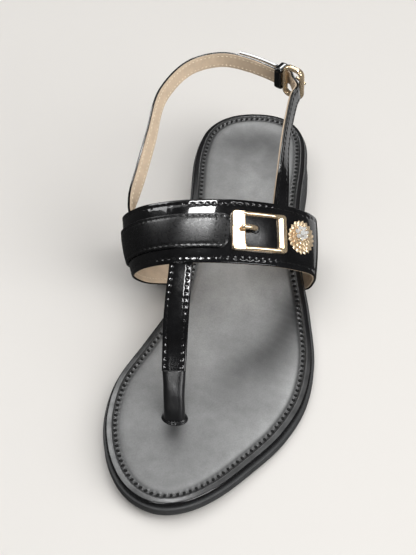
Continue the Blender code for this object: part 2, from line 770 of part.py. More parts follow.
def main():
    clear_scene()
    parts = new_collection(OBJECT_NAME)
    cutters = new_collection(OBJECT_NAME + "_cutters")
    band = Band()
    build_sole(band, parts, cutters)
    build_upper(band, parts, cutters)
    build_post(parts)
    build_overlay(band, parts)
    build_flower(band, parts)
    build_ankle_buckle(parts)


main()
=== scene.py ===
"""Looks of a toe post sandal for the left foot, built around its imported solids.

Every piece is made in the shoe's own frame: +X lateral, -Y to the toes, +Z up, origin on the floor under
the heel. Shapes are worked out in millimetres and stored in metres.
"""
import math
from collections import namedtuple

import bmesh
import bpy
import numpy as np
from bpy.props import FloatProperty, FloatVectorProperty, IntProperty, PointerProperty
from mathutils import Matrix, Vector


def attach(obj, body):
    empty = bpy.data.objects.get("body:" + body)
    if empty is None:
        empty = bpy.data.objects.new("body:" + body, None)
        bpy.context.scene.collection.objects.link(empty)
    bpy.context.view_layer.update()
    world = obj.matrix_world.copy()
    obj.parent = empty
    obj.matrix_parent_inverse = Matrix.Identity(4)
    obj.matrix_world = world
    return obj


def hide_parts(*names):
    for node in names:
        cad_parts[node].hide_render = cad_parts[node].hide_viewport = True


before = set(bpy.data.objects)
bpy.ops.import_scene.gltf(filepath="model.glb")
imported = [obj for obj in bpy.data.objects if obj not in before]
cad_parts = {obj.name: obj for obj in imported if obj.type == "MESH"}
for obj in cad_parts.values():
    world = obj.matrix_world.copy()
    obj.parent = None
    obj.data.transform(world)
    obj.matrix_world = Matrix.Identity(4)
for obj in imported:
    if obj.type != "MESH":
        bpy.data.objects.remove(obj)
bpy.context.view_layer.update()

bl_info = {
    "name": "Toe Post Sandal",
    "version": (1, 0, 0),
    "blender": (4, 5, 0),
    "location": "View3D > Sidebar > Sandal",
    "description": "Builds the finished pieces of a strap sandal around its solids",
    "category": "Object",
}

MM = 0.001
BODY = "root"
SEAT_GAP = 0.3
MERGE_DISTANCE = 1e-6
THIN_EDGE = 1e-7
SMOOTH_ANGLE = 40.0
ROUND_ANGLE = 60.0

# Layer of a strap: lifts of its lower and upper sides, radius of its edges, points across its top,
# step along it, inset from the strap's edges and crown
Layer = namedtuple("Layer", "low high edge points step inset crown", defaults=(0.0, 0.0))

# Sole
SOLE_LENGTH = 255.5
HEEL_CENTRE = 29.8
HEEL_SEAT_TOP = 22.0
BALL_TOP = 9.0
TOE_SPRING = 5.0
HEEL_SEAT_END = 53.0
BALL_START = 163.0
SPRING_START = 183.0
FOOTBED_THICK = 3.5
OUTSOLE_LEDGE = 1.2
HEEL_FLARE = 1.0
SHANK_THICK = 9.2
HEEL_BREAST = 64.0
HEEL_BREAST_RUN = 8.0
SOLE_ROWS = (
    # along, medial, lateral
    (0.0, 5.5, 5.5),
    (3.6, -12.2, 19.0),
    (17.8, -25.6, 29.2),
    (37.8, -28.4, 32.0),
    (67.8, -25.8, 32.8),
    (102.8, -22.0, 36.2),
    (132.8, -23.3, 44.2),
    (162.8, -33.7, 49.7),
    (187.8, -42.6, 48.0),
    (207.8, -43.5, 40.4),
    (227.8, -38.9, 27.0),
    (242.8, -31.0, 14.8),
    (SOLE_LENGTH, -9.4, -9.4),
)
SPINE_START = 26.0
SPINE_TRIM = 56.0

# Outsole wall and tread
WALL_EDGE = (
    # way out past the footbed's edge, drop below the seat
    (-8.0, 0.0), (0.2, 0.0), (0.75, 0.12), (1.08, 0.45), (OUTSOLE_LEDGE, 0.95),
)
WALL_SHARES = (0.2, 0.4, 0.6, 0.8, 1.0)
WALL_BELLY = 0.35
TREAD_RISE = 1.3
TREAD_ROUND = (
    # way in from the tread's edge, rise above the tread
    (0.12, 0.75), (0.45, 0.32), (0.95, 0.06), (1.4, 0.0),
)
TREAD_FLAT = 2.6
TREAD_BORDER = 3.4
TREAD_START = 0.06
TREAD_RINGS = 20
TREAD_HEEL_END = (54.0, 58.0)
TREAD_FORE_START = (140.0, 146.0)
TREAD_FORE_END = (232.0, 240.0)
TREAD_PITCH = 6.5
TREAD_GROOVE = (0.12, 0.34)
TREAD_DEPTH = 0.8
TREAD_FADE = (0.03, 0.1)

# Footbed: its border from the cushion out to the wall, as inset from the edge and rise above its height
FOOTBED_BORDER = (
    (10.5, 0.4), (9.7, 0.37), (9.0, 0.28), (8.4, 0.13), (7.9, -0.05), (7.4, -0.25), (6.95, -0.43),
    (6.5, -0.57), (6.1, -0.66), (5.6, -0.7), (4.8, -0.68), (4.2, -0.6), (3.8, -0.46), (3.5, -0.22),
    (3.25, 0.0), (2.95, 0.12), (2.6, 0.1), (2.2, -0.04), (1.7, -0.22), (1.2, -0.4), (0.75, -0.57),
    (0.42, -0.8), (0.16, -1.15), (0.03, -1.6), (0.0, -2.1), (0.0, -2.6), (0.06, -3.1), (0.4, -3.45),
    (3.0, -3.5),
)
PAD_INSET, PAD_RISE = FOOTBED_BORDER[0]
PAD_RINGS = 22
PAD_END = 0.05
EDGE_SKIP = 3
WALL_INSET = 0.5
HEEL_CUP = 1.6
HEEL_CUP_INSET = 25.0
HEEL_CUP_END = (40.0, 100.0)
CHANNEL_INSET = 4.6
CHANNEL_STITCH = 1.0
CHANNEL_SLANT = 0.3
CHANNEL_REACH = 1.3
CHANNEL_HOLLOW = 0.16
CHANNEL_SEAT = 0.62
CHANNEL_THREAD = 0.8
CHANNEL_FLAT = 0.6

# Tone of the footbed over the border's black: FULL_TONE gives the whole of the pad's colour
FULL_TONE = 1.4
PAD_TONE = 0.78
PAD_START = (5.7, 7.9)
CHANNEL_TONE = 0.2
CHANNEL_START = (3.0, 3.8)
SHADE_STEPS = 24
# Painted shade on the pad: the shadow before the toe post's collar, the band's shadow and reflection across
# the ball, and the shade in the middle of the heel
PAD_PAINTED_SHADE = (
    # places along a stretch of painted shade: x, y, reach, depth
    ((-10.2, -182.0, 5.5, 0.97), (-9.6, -186.0, 6.0, 0.88), (-8.4, -190.5, 6.8, 0.52),
     (-6.0, -197.5, 8.0, 0.0)),
    ((40.0, -92.0, 8.0, 0.88), (38.0, -105.0, 9.0, 0.92), (34.5, -118.0, 9.5, 0.8),
     (28.0, -131.0, 9.0, 0.7), (18.0, -143.0, 9.0, 0.5), (7.0, -158.0, 10.0, 0.24),
     (-2.0, -172.0, 10.0, 0.0)),
    ((-16.0, 1.0, 8.0, 0.3), (-9.0, 3.5, 10.0, 0.5), (0.0, 5.0, 10.5, 0.52),
     (9.0, 8.0, 9.5, 0.5), (14.0, 3.0, 8.5, 0.46), (14.0, -10.0, 8.0, 0.14)),
    ((38.0, -132.0, 7.0, 0.2), (32.0, -142.0, 8.0, 0.25), (24.0, -151.0, 8.0, 0.06)),
)
# Painted light on the pad: the sheen on the heel's back, light under the band and beside the T-strap, and the
# lit lateral edge of the forefoot
PAD_PAINTED_LIGHT = (
    # places along a stretch of painted light: x, y, reach, gain
    ((-20.0, -2.0, 7.0, 0.1), (-15.0, 14.0, 7.5, 0.42), (0.0, 21.0, 7.5, 0.5),
     (12.0, 18.0, 7.0, 0.34), (17.0, 3.0, 7.0, 0.1)),
    ((4.0, -20.0, 16.0, 0.22), (4.0, -36.0, 16.0, 0.24), (4.0, -62.0, 20.0, 0.3),
     (8.0, -84.0, 24.0, 0.66), (1.0, -103.0, 18.0, 0.36), (-6.0, -122.0, 12.0, 0.36),
     (-7.0, -148.0, 11.0, 0.4), (-7.0, -162.0, 9.0, 0.16)),
    ((44.0, -126.0, 6.0, 0.1), (44.0, -142.0, 7.0, 0.36), (42.0, -158.0, 8.5, 0.46),
     (36.0, -172.0, 9.0, 0.34), (26.0, -184.0, 10.0, 0.16), (14.0, -196.0, 10.0, 0.06)),
)
RIM_INSET = 3.1
RIM_PAINTED_SHEEN = (
    # places along the stretch of the rim with a painted lighter sheen: x, y, reach, tone
    (-32.0, -128.0, 6.0, 0.05), (-41.0, -150.0, 7.0, 0.45), (-43.5, -172.0, 8.0, 0.85),
    (-41.0, -196.0, 8.0, 0.8), (-31.0, -214.0, 8.0, 0.66), (-11.0, -224.0, 8.0, 0.26),
    (10.0, -215.0, 8.0, 0.12), (30.0, -195.0, 8.0, 0.16), (40.0, -180.0, 8.0, 0.28),
    (47.0, -160.0, 8.0, 0.24), (46.0, -136.0, 8.0, 0.14), (43.0, -118.0, 7.0, 0.0),
)

# Straps in general: points round their section, and the seams that are sewn along their edges
EDGE_POINTS = 5
LOW_POINTS = 5
WALL_HEIGHTS = (1.12, 1.5, 1.88, 2.0)
GROOVE_REACH = 0.62
HOLE_SHARE = 0.45
STITCH_OVERLAP = 0.6
STITCH_END = 1.0
THREAD_SUNK = 0.75
THREAD_SIDES = (6, 4)
LINING_SHARE = 0.58

# Instep band
BAND_THICK = 2.0
BAND_CROWN = 0.8
BAND_TUCK = 18.0
BAND_SAMPLES = 400
NORMAL_STEP = 0.4
IN_SEAM = None
BAND_ROWS = (
    # front x, y, z, rear x, y, z
    (-9.0, -93.0, IN_SEAM, -9.0, -63.0, IN_SEAM),
    (-25.5, -94.0, IN_SEAM, -25.5, -63.5, IN_SEAM),
    (-38.5, -104.0, 18.5, -46.5, -70.4, 23.0),
    (-42.6, -111.0, 31.0, -53.4, -80.4, 39.6),
    (-36.5, -115.5, 42.0, -44.3, -85.3, 53.0),
    (-22.7, -118.0, 50.8, -27.0, -87.8, 62.6),
    (-8.0, -115.8, 51.8, -8.9, -85.5, 64.6),
    (15.1, -109.4, 47.2, 12.0, -79.3, 60.0),
    (35.2, -101.5, 38.2, 32.8, -70.7, 49.2),
    (45.2, -93.8, 26.2, 42.0, -62.0, 34.5),
    (44.9, -90.0, 16.5, 41.2, -57.5, 23.0),
    (41.8, -88.0, IN_SEAM, 36.0, -55.0, IN_SEAM),
    (25.0, -87.0, IN_SEAM, 19.0, -54.0, IN_SEAM),
)
BAND_SEAM = 2.7
BAND_COVER = Layer(-0.2, BAND_THICK / 2, 0.5, 62, 0.62)
BAND_LINING = Layer(-BAND_THICK / 2, -0.25, 0.3, 18, 1.6, inset=0.25)
ON_BAND = BAND_THICK / 2 + 0.05

# Overlay strap, by its place on the band
OVERLAY_THICK = 1.3
OVERLAY_ACROSS = (-84.0, 15.0)
OVERLAY_ALONG = (-9.2, 8.4)
OVERLAY_CORNER = 3.2
OVERLAY_TIP_STEPS = 14
OVERLAY_SEAM = 1.7
OVERLAY_END_SEAM = 6.6
OVERLAY_SEAM_START = 2.0
OVERLAY_PITCH = 0.85
OVERLAY_SUNK = 0.5
OVERLAY_END_RISE = 0.25
OVERLAY_COVER = Layer(ON_BAND, ON_BAND + OVERLAY_THICK, 0.5, 40, 0.7, crown=0.25)

# Ornamental buckle with its tab, eyelet and prong, by their place on the band
BUCKLE_CENTRE = 30.2
BUCKLE_HALF = (14.0, 9.8)
BUCKLE_CORNER = 1.6
BUCKLE_THICK = 2.0
BUCKLE_WIDE_BAR = 6.7
BUCKLE_NARROW_BAR = 4.6
BUCKLE_RAIL = 2.0
BUCKLE_LEAN = 0.085
BUCKLE_SINK = 0.15
BUCKLE_RIDGE = 0.55
BUCKLE_ANGLE = 25.0
BUCKLE_SECTION = (
    # share of the way from the inner edge to the outer, share of the height, part of it in the ridge
    (0.0, 0.0, 0.0), (0.0, 0.6, 0.0), (0.02, 0.92, 0.0), (0.07, 1.0, 0.1), (0.12, 1.0, 0.2),
    (0.3, 1.0, 0.6), (0.5, 1.0, 1.0), (0.7, 1.0, 0.6), (0.88, 1.0, 0.2), (0.93, 1.0, 0.1),
    (0.98, 0.92, 0.0), (1.0, 0.6, 0.0), (1.0, 0.0, 0.0), (0.5, 0.0, 0.0), (0.0, 0.0, 0.0),
)
RAIL_ROUND = 0.75
RAIL_ROUND_FROM = 0.9
RAIL_END = (0.7, 0.1)
LEVEL_REACH = 5.0
TAB_THICK = 0.9
TAB_UNDER_BAR = 1.2
TAB_UNDER_RAIL = 0.4
TAB_COVER = Layer(ON_BAND, ON_BAND + TAB_THICK, 0.2, 24, 0.8)
EYELET_RADIUS = 1.9
EYELET_WIRE = 0.34
EYELET_SIDES = 10
EYELET_STEPS = 36
EYELET_RISE = 0.1
PRONG_RADIUS = 1.25
PRONG_LENGTH = 8.0
PRONG_OVER_BAR = 3.0
PRONG_ALONG = 1.0
PRONG_CLEAR = 0.5
PRONG_BENT = 0.3
PRONG_SEAT = 0.35
PRONG_PRESSED = 0.6
PRONG_TIP = 0.6
TIP_SHARE = 0.0004

# Flower, by its place on the band
FLOWER_CENTRE = 54.6
FLOWER_ALONG = 1.0
FLOWER_RADIUS = 9.2
PETAL_RINGS = (
    # inner radius, outer radius, lift of the root, lift of the tip, turn of the ring in petals
    (4.4, FLOWER_RADIUS, 0.6, 1.0, 0.0),
    (3.2, FLOWER_RADIUS * 0.8, 1.3, 1.9, 0.5),
    (2.2, FLOWER_RADIUS * 0.6, 2.0, 2.7, 0.2),
)
CORE_FEWER = 4
PETAL_STEPS = 6
PETAL_WIDEST = 0.42
PETAL_TAPER = 0.58
PETAL_FULL = 0.98
PETAL_ARCH = 0.75
PETAL_DROOP = 2.0
PETAL_DROOP_START = 0.55
PETAL_THICK = 0.3
DISC_RADIUS = 0.66 * FLOWER_RADIUS
DISC_HEIGHT = 1.6
DISC_SIDES = 40
DISC_TAPER = 0.9
STONE_SHIFT = (-2.3, 1.3)
STONE_SIDES = 8
STONE_TABLE = 0.52
STONE_RISE = 0.85
MIDDLE_STONE = (1.55, 2.7)
RING_STONE = (1.25, 2.4)
RING_STONES = 7
STONE_RING = 2.9
STONE_TURN = 0.3
STONE_ANGLE = 5.0
CLAW_RING = 3.7
CLAW_LIFT = 2.7
CLAW_RADIUS = 0.5

# T-strap and toe post
T_THICK = 2.4
T_ACROSS = -6.8
T_ROOT = 9.0
T_ROOT_WIDTH = 11.6
T_CROWN = 0.7
T_SEAM = 2.0
T_SUNK = 0.6
T_COVER = Layer(-0.5, T_THICK / 2 - 0.3, 0.6, 26, 0.55, crown=T_CROWN)
T_LINING = Layer(-T_THICK / 2, -0.55, 0.25, 10, 1.4, inset=0.25, crown=T_CROWN * 0.5)
T_ROWS = (
    # x, y, z, width
    (-16.2, -132.0, 44.5, 12.0),
    (-15.0, -146.0, 38.0, 12.1),
    (-13.9, -156.0, 31.6, 11.7),
    (-13.2, -162.6, 26.6, 11.4),
)
POST_ROWS = (
    # x, y, z
    (-13.2, -162.0, 27.0),
    (-11.6, -172.0, 17.8),
    (-10.7, -177.2, 10.8),
    (-10.3, -178.6, 6.7),
)
POST_SAMPLES = 200
SLEEVE_TOP = (11.0, 5.4)
SLEEVE_BASE = (10.0, 6.4)
SLEEVE_START = 1.5
SLEEVE_FOOT = 2.0
SLEEVE_LAP = 1.3
SLEEVE_SINK = 1.2
SLEEVE_RINGS = 60
SLEEVE_SIDES = 48
SLEEVE_WAIST = 0.05
SLEEVE_SQUARE = 0.68
SLEEVE_CLOSED = 0.9
FOLD_DEPTH = 0.018
FOLD_ALONG = 9.0
FOLD_AROUND = 3.0
COLLAR_SLANT = -0.2
COLLAR_SIDES = 72
COLLAR_SECTION = (
    # way out past the sleeve, height above the footbed
    (-0.5, 2.0), (0.2, 2.0), (0.4, 1.85), (0.5, 1.5), (0.6, 1.15), (0.85, 0.85), (1.15, 0.65), (1.3, 0.4),
    (1.25, 0.1), (1.0, -0.1), (-0.5, -0.1), (-0.5, 2.0),
)

# Ankle straps: lean is the tilt of the strap's upper edge away from the foot, in degrees
STRAP_WIDTH = 8.6
STRAP_THICK = 2.0
STRAP_ROOT = 10.0
STRAP_SEAM = 1.6
STRAP_PITCH = 0.9
STRAP_SAMPLES = 260
LATERAL_SAMPLES = 400
PATH_SAMPLES = 80
STRAP_COVER = Layer(-0.25, STRAP_THICK / 2, 0.45, 18, 0.6)
TAIL_COVER = Layer(-0.95, STRAP_THICK / 2, 0.2, 18, 0.6)
ANKLE_LINING = Layer(-1.0, -0.3, 0.12, 10, 1.2, inset=0.15)
LATERAL_LINING = Layer(-1.0, -0.3, 0.12, 10, 1.2, inset=0.1)
TAIL_LINING = Layer(-1.15, -0.9, 0.12, 10, 1.2, inset=0.4)
ANKLE_ACROSS = -41.0
ANKLE_ROOT_LEAN = -20.0
ANKLE_ROWS = (
    # x, y, z, lean
    (-49.0, -79.0, 49.2, 8.0),
    (-47.1, -64.0, 56.8, 22.0),
    (-45.4, -46.0, 63.6, 22.0),
    (-43.2, -18.0, 70.8, 15.0),
    (-30.2, 3.2, 74.0, 7.0),
    (-16.0, 8.6, 75.0, 4.0),
    (-1.0, 7.4, 73.8, 2.0),
    (8.5, 4.6, 72.7, 0.0),
    (16.8, 0.2, 72.8, 0.0),
)
LATERAL_ACROSS = 42.5
LATERAL_ROOT_LEAN = -55.0
LATERAL_ROWS = (
    # x, y, z, lean
    (24.6, -17.0, 74.0, -16.0),
    (23.7, -30.0, 71.0, -17.0),
    (23.6, -45.0, 67.0, -21.0),
    (24.6, -60.0, 62.6, -36.0),
)
TAIL_LENGTH = 27.0
TAIL_ROWS = 5
TAIL_RISE = 0.4
TAIL_LAP = 1.0
RING_BAR = 1.6
RING_CLEAR = 1.0
RING_HALF = (5.2, 8.6)
RING_RISE = 0.8
RING_CORNER = 3.0
RING_WIRE = 1.0
RING_FULL = 1.15
RING_DEEP = 1.6
RING_SIDES = 16
RING_PRONG_RADIUS = 0.8
RING_PRONG_BACK = 1.2
RING_PRONG_TIP = 1.0
KEEPER_WIDTH = 4.2
KEEPER_THICK = 1.2
KEEPER_CORNER = 0.6
KEEPER_SLACK = 0.6
KEEPER_SETBACK = 2.3
KEEPER_SECTION = (
    # share of the way out, share of half the width
    (0.0, -1.0), (0.0, 1.0), (0.6, 1.0), (0.85, 0.93), (1.0, 0.75), (1.06, 0.35), (1.08, 0.0),
    (1.06, -0.35), (1.0, -0.75), (0.85, -0.93), (0.6, -1.0), (0.0, -1.0),
)

# Stage, in metres: floor, lights and what they point at
FLOOR_HALF = 4.0
FLOOR_DROP = 0.0003
SKY_COLOUR = (1.0, 0.985, 0.965)
LIGHT_TARGET = (-0.004, -0.09, 0.03)
LIGHTS = (
    # name, place, width, height, setting and share of its power, whether it shows in the gloss or lights
    # the rest; gloss looks through the floor, so the strap's card can lie below it
    ("daylight", (1.95, -0.95, 2.1), 2.0, 2.0, "daylight", 0.85, False),
    ("overhead", (-0.25, -0.25, 2.6), 3.0, 3.0, "daylight", 1.15, False),
    ("right_fill", (1.8, -0.9, 0.7), 1.5, 1.0, "daylight", 0.34, False),
    ("front_fill", (0.7, -1.8, 0.8), 1.5, 1.0, "daylight", 0.04, False),
    ("top_softbox", (-0.01, 0.015, 1.25), 0.46, 0.115, "key", 1.15, True),
    ("glow_card", (0.12, -0.07, 1.25), 0.36, 0.08, "key", 0.42, True),
    ("side_softbox", (0.69, -0.005, 1.05), 0.13, 0.26, "key", 0.16, True),
    ("flower_card", (0.78, -0.66, 0.62), 0.5, 0.4, "fill", 0.45, True),
    ("strap_card", (0.36, 0.44, -0.2), 0.4, 0.3, "fill", 0.024, True),
    ("back_panel", (-0.39, 0.96, 1.69), 2.3, 0.88, "fill", 1.0, True),
    ("rim_card", (-0.433, 0.112, 0.372), 0.2, 0.25, "fill", 0.09, True),
    ("back_strip", (0.06, 1.5, 1.24), 0.45, 0.3, "key", 1.2, True),
    ("front_card", (-0.15, -0.87, 0.75), 0.42, 0.07, "key", 0.3, True),
)

# Camera at the photograph's angle: its place in millimetres, its view and the way to its upper edge
CAMERA_PLACE = (61.2, -487.3, 473.9)
CAMERA_VIEW = (-0.1144, 0.6477, -0.7533)
CAMERA_UP = (-0.1103, 0.7275, 0.6772)
SENSOR_WIDTH = 36.0
CLIP_RANGE = (0.01, 20.0)


def smooth_curve(knots, values, at):
    """Cubic through every row, with slopes taken from the neighbouring rows."""
    knots = np.asarray(knots, float)
    values = np.asarray(values, float).reshape(len(knots), -1)
    slopes = np.gradient(values, knots, axis=0)
    at = np.clip(np.atleast_1d(at), knots[0], knots[-1])
    left = np.clip(np.searchsorted(knots, at, side="right") - 1, 0, len(knots) - 2)
    span = (knots[left + 1] - knots[left])[:, None]
    t = ((at - knots[left]) / span[:, 0])[:, None]
    start = (1 + 2 * t) * (1 - t) ** 2 * values[left] + t * (1 - t) ** 2 * span * slopes[left]
    end = t * t * (3 - 2 * t) * values[left + 1] + t * t * (t - 1) * span * slopes[left + 1]
    return start + end


def chord_lengths(points):
    steps = np.linalg.norm(np.diff(np.asarray(points, float), axis=0), axis=1)
    return np.concatenate([[0.0], np.cumsum(steps)])


def smooth_step(start, end, at):
    t = np.clip((at - start) / (end - start), 0.0, 1.0)
    return t * t * (3.0 - 2.0 * t)


def unit(vectors):
    return vectors / np.linalg.norm(vectors, axis=-1, keepdims=True)


def matched(*values):
    """The values as arrays of one length."""
    return np.broadcast_arrays(*(np.atleast_1d(np.asarray(value, float)) for value in values))


def spring_rise(along):
    return TOE_SPRING * np.clip((along - SPRING_START) / (SOLE_LENGTH - SPRING_START), 0.0, 1.0) ** 2


def footbed_top(along):
    """Height of the footbed: level heel seat, arch, ball and toe spring."""
    fall = smooth_step(HEEL_SEAT_END, BALL_START, along)
    return HEEL_SEAT_TOP + (BALL_TOP - HEEL_SEAT_TOP) * fall + spring_rise(along)


def sole_bottom(along):
    """Height of the tread: flat heel, heel breast, raised shank, flat ball and toe spring."""
    shank = np.maximum(footbed_top(along) - SHANK_THICK, 0.0)
    breast = smooth_step(HEEL_BREAST, HEEL_BREAST + HEEL_BREAST_RUN, along)
    return np.where(along < SPRING_START, shank * breast, spring_rise(along))


def tread_ledge(along):
    """How far the tread stands out past the footbed: a little more round the heel."""
    return OUTSOLE_LEDGE + HEEL_FLARE * (1.0 - smooth_step(HEEL_SEAT_END, BALL_START, along))


def along_of(y):
    return HEEL_CENTRE - y


def seam_height(y):
    """Height of the band's middle layer where it lies under the footbed."""
    return float(footbed_top(along_of(y)) - FOOTBED_THICK - SEAT_GAP - BAND_THICK / 2)


class Outline:
    """Edge of the footbed, up the medial side to the toe and back, with rings inside and outside it."""

    def __init__(self, stations):
        rows = np.array(SOLE_ROWS)
        turns = np.arccos(1.0 - 2.0 * rows[:, 0] / SOLE_LENGTH)
        at = np.linspace(0.0, math.pi, stations + 1)
        edges = smooth_curve(turns, rows[:, 1:], at)
        along = SOLE_LENGTH * (1.0 - np.cos(at)) / 2.0
        medial = np.column_stack([edges[:, 0], HEEL_CENTRE - along])
        lateral = np.column_stack([edges[:, 1], HEEL_CENTRE - along])
        self.points = np.vstack([medial, lateral[-2:0:-1]])
        self.along = np.concatenate([along, along[-2:0:-1]])
        ahead = unit(np.roll(self.points, -1, axis=0) - np.roll(self.points, 1, axis=0))
        x, y = self.points.T
        area = np.sum(x * np.roll(y, -1) - np.roll(x, -1) * y)
        self.outward = np.column_stack([ahead[:, 1], -ahead[:, 0]]) * np.sign(area)
        middle = (medial + lateral) / 2.0
        share = along / SOLE_LENGTH
        spine_along = SPINE_START + share * (SOLE_LENGTH - SPINE_TRIM)
        spine = np.column_stack([np.interp(spine_along, along, middle[:, 0]), HEEL_CENTRE - spine_along])
        self.spine = np.vstack([spine, spine[-2:0:-1]])

    def count(self):
        return len(self.points)

    def ring(self, out):
        return self.points + self.outward * np.reshape(out, (-1, 1))


class Band:
    """Surface of the instep band, by run across the foot, side along it and lift off its middle layer."""

    def __init__(self):
        table = np.array([self.fill_seam(row) for row in BAND_ROWS], float)
        self.front, self.rear = table[:, :3], table[:, 3:]
        self.knots = chord_lengths((self.front + self.rear) / 2)
        self.samples = np.linspace(0.0, self.knots[-1], BAND_SAMPLES)
        middle = (smooth_curve(self.knots, self.front, self.samples)
                  + smooth_curve(self.knots, self.rear, self.samples)) / 2
        self.lengths = chord_lengths(middle)
        self.lengths -= self.lengths[int(np.argmax(middle[:, 2]))]
        crest = int(np.argmax(self.rear[:, 2]))
        self.width = float(np.linalg.norm(self.front[crest] - self.rear[crest]))
        self.start, self.end = self.lengths[0] + SEAT_GAP, self.lengths[-1] - SEAT_GAP

    @staticmethod
    def fill_seam(row):
        front_x, front_y, front_z, rear_x, rear_y, rear_z = row
        front_z = seam_height(front_y) if front_z is IN_SEAM else front_z
        rear_z = seam_height(rear_y) if rear_z is IN_SEAM else rear_z
        return front_x, front_y, front_z, rear_x, rear_y, rear_z

    def half(self, run):
        return np.full(np.shape(run), self.width / 2)

    def layer(self, run, side):
        knot = np.interp(run, self.lengths, self.samples)
        front = smooth_curve(self.knots, self.front, knot)
        rear = smooth_curve(self.knots, self.rear, knot)
        return front + (rear - front) * (0.5 + side / self.width)[:, None]

    def place(self, run, side, lift):
        run, side, lift = matched(run, side, lift)
        ahead = self.layer(run + NORMAL_STEP, side) - self.layer(run - NORMAL_STEP, side)
        back = self.layer(run, side + NORMAL_STEP) - self.layer(run, side - NORMAL_STEP)
        out = unit(np.cross(ahead, back))
        clear = np.minimum(run - self.lengths[0], self.lengths[-1] - run)
        crown = BAND_CROWN * smooth_step(BAND_TUCK, 2.0 * BAND_TUCK, clear)
        crown = crown * (1.0 - (2.0 * side / self.width) ** 2)
        return self.layer(run, side) + out * (lift + crown)[:, None]

    def point(self, run, side, lift):
        return self.place(run, side, lift)[0]


def frame_rows(rows, samples):
    """Smooth path through strap rows, with tangents and the remaining columns carried along."""
    table = np.array(rows, float)
    knots = chord_lengths(table[:, :3])
    at = np.linspace(0.0, knots[-1], samples)
    values = smooth_curve(knots, table, at)
    tangents = unit(np.gradient(values[:, :3], at, axis=0))
    return values, tangents


def leaning_axes(tangent, lean):
    """Width direction of an ankle strap and the direction away from the foot."""
    up = np.array([0.0, 0.0, 1.0])
    wide = unit(up - tangent * np.dot(up, tangent))
    out = np.cross(wide, tangent)
    turn = math.radians(lean)
    return wide * math.cos(turn) + out * math.sin(turn), out * math.cos(turn) - wide * math.sin(turn)


def tongue_axes(tangent):
    """Width direction of the T-strap, level across the foot, and the direction off its top."""
    side = np.array([1.0, 0.0, 0.0])
    wide = unit(side - tangent * np.dot(side, tangent))
    return wide, np.cross(tangent, wide)


class Strap:
    """Strap along a smooth path, by run along it, side across it and lift off its middle layer."""

    def __init__(self, rows, axes, width=None, samples=STRAP_SAMPLES):
        values, tangents = frame_rows(rows, samples)
        self.middle = values[:, :3]
        frames = [axes(tangent, value) for tangent, value in zip(tangents, values)]
        self.wide = np.array([wide for wide, _ in frames])
        self.out = np.array([out for _, out in frames])
        self.runs = chord_lengths(self.middle)
        self.start, self.end = 0.0, self.runs[-1]
        self.widths = values[:, 3] if width is None else np.full(samples, width)

    def half(self, run):
        return np.interp(run, self.runs, self.widths) / 2

    def pick(self, table, run):
        return np.column_stack([np.interp(run, self.runs, table[:, c]) for c in range(3)])

    def place(self, run, side, lift):
        run, side, lift = matched(run, side, lift)
        wide, out = unit(self.pick(self.wide, run)), unit(self.pick(self.out, run))
        return self.pick(self.middle, run) + wide * side[:, None] + out * lift[:, None]


def t_strap_rows(band):
    """T-strap from its stitched end under the band, past the band's front edge and down to the post."""
    lift = -(BAND_THICK + T_THICK) / 2 + STITCH_OVERLAP
    front = -band.width / 2
    under = [band.point(T_ACROSS, front + run, lift) for run in (T_ROOT, 0.0)]
    return [(*point, T_ROOT_WIDTH) for point in under] + list(T_ROWS)


def ankle_rows(band):
    """Ankle strap from its stitched end inside the band, round the back of the ankle to its buckle."""
    lift = -(BAND_THICK + STRAP_THICK) / 2 + STITCH_OVERLAP
    rear = band.width / 2
    inside = [band.point(ANKLE_ACROSS, rear - run, lift) for run in (STRAP_ROOT, STRAP_ROOT / 3)]
    return [(*point, ANKLE_ROOT_LEAN) for point in inside] + list(ANKLE_ROWS)


def buckle_axes():
    """End of the ankle strap: its middle, the way it heads, its width direction and the way out."""
    values, tangents = frame_rows(ANKLE_ROWS, PATH_SAMPLES)
    wide, out = leaning_axes(tangents[-1], values[-1][3])
    return values[-1][:3], tangents[-1], wide, out


def lateral_rows(band):
    """Lateral strap from the tip of its tail, outside the ankle strap, through the buckle to the band."""
    values, tangents = frame_rows(ANKLE_ROWS, PATH_SAMPLES)
    walked = chord_lengths(values[:, :3])
    stand_off = STRAP_THICK + SEAT_GAP
    rows = []
    for back in np.linspace(TAIL_LENGTH, 0.0, TAIL_ROWS):
        k = int(np.argmin(np.abs(walked - (walked[-1] - back))))
        wide, out = leaning_axes(tangents[k], values[k][3])
        rows.append((*(values[k][:3] + out * stand_off + wide * TAIL_RISE), values[k][3]))
    end, ahead, wide, out = buckle_axes()
    through = (
        # along the ring, way out, lean
        (RING_BAR, stand_off + RING_CLEAR, -4.0),
        (RING_BAR + RING_HALF[0], 0.0, -6.0),
        (RING_BAR + 2.0 * RING_HALF[0], -stand_off - RING_CLEAR, -8.0),
    )
    for run, off, lean in through:
        rows.append((*(end + ahead * run + out * off + wide * TAIL_RISE / 2), lean))
    lift = -(BAND_THICK + STRAP_THICK) / 2 + STITCH_OVERLAP
    rear = band.width / 2
    under = [band.point(LATERAL_ACROSS, rear - run, lift) for run in (STRAP_ROOT / 2, STRAP_ROOT)]
    return rows + list(LATERAL_ROWS) + [(*point, LATERAL_ROOT_LEAN) for point in under]


class Shapes:
    """The surfaces that the pieces are laid on, worked out once."""

    def __init__(self):
        self.band = Band()
        self.tongue = Strap(t_strap_rows(self.band), lambda tangent, row: tongue_axes(tangent))
        self.ankle = Strap(ankle_rows(self.band), self.lean, STRAP_WIDTH)
        self.lateral = Strap(lateral_rows(self.band), self.lean, STRAP_WIDTH, LATERAL_SAMPLES)

    @staticmethod
    def lean(tangent, row):
        return leaning_axes(tangent, row[3])


SHAPES = Shapes()


# Mesh helpers


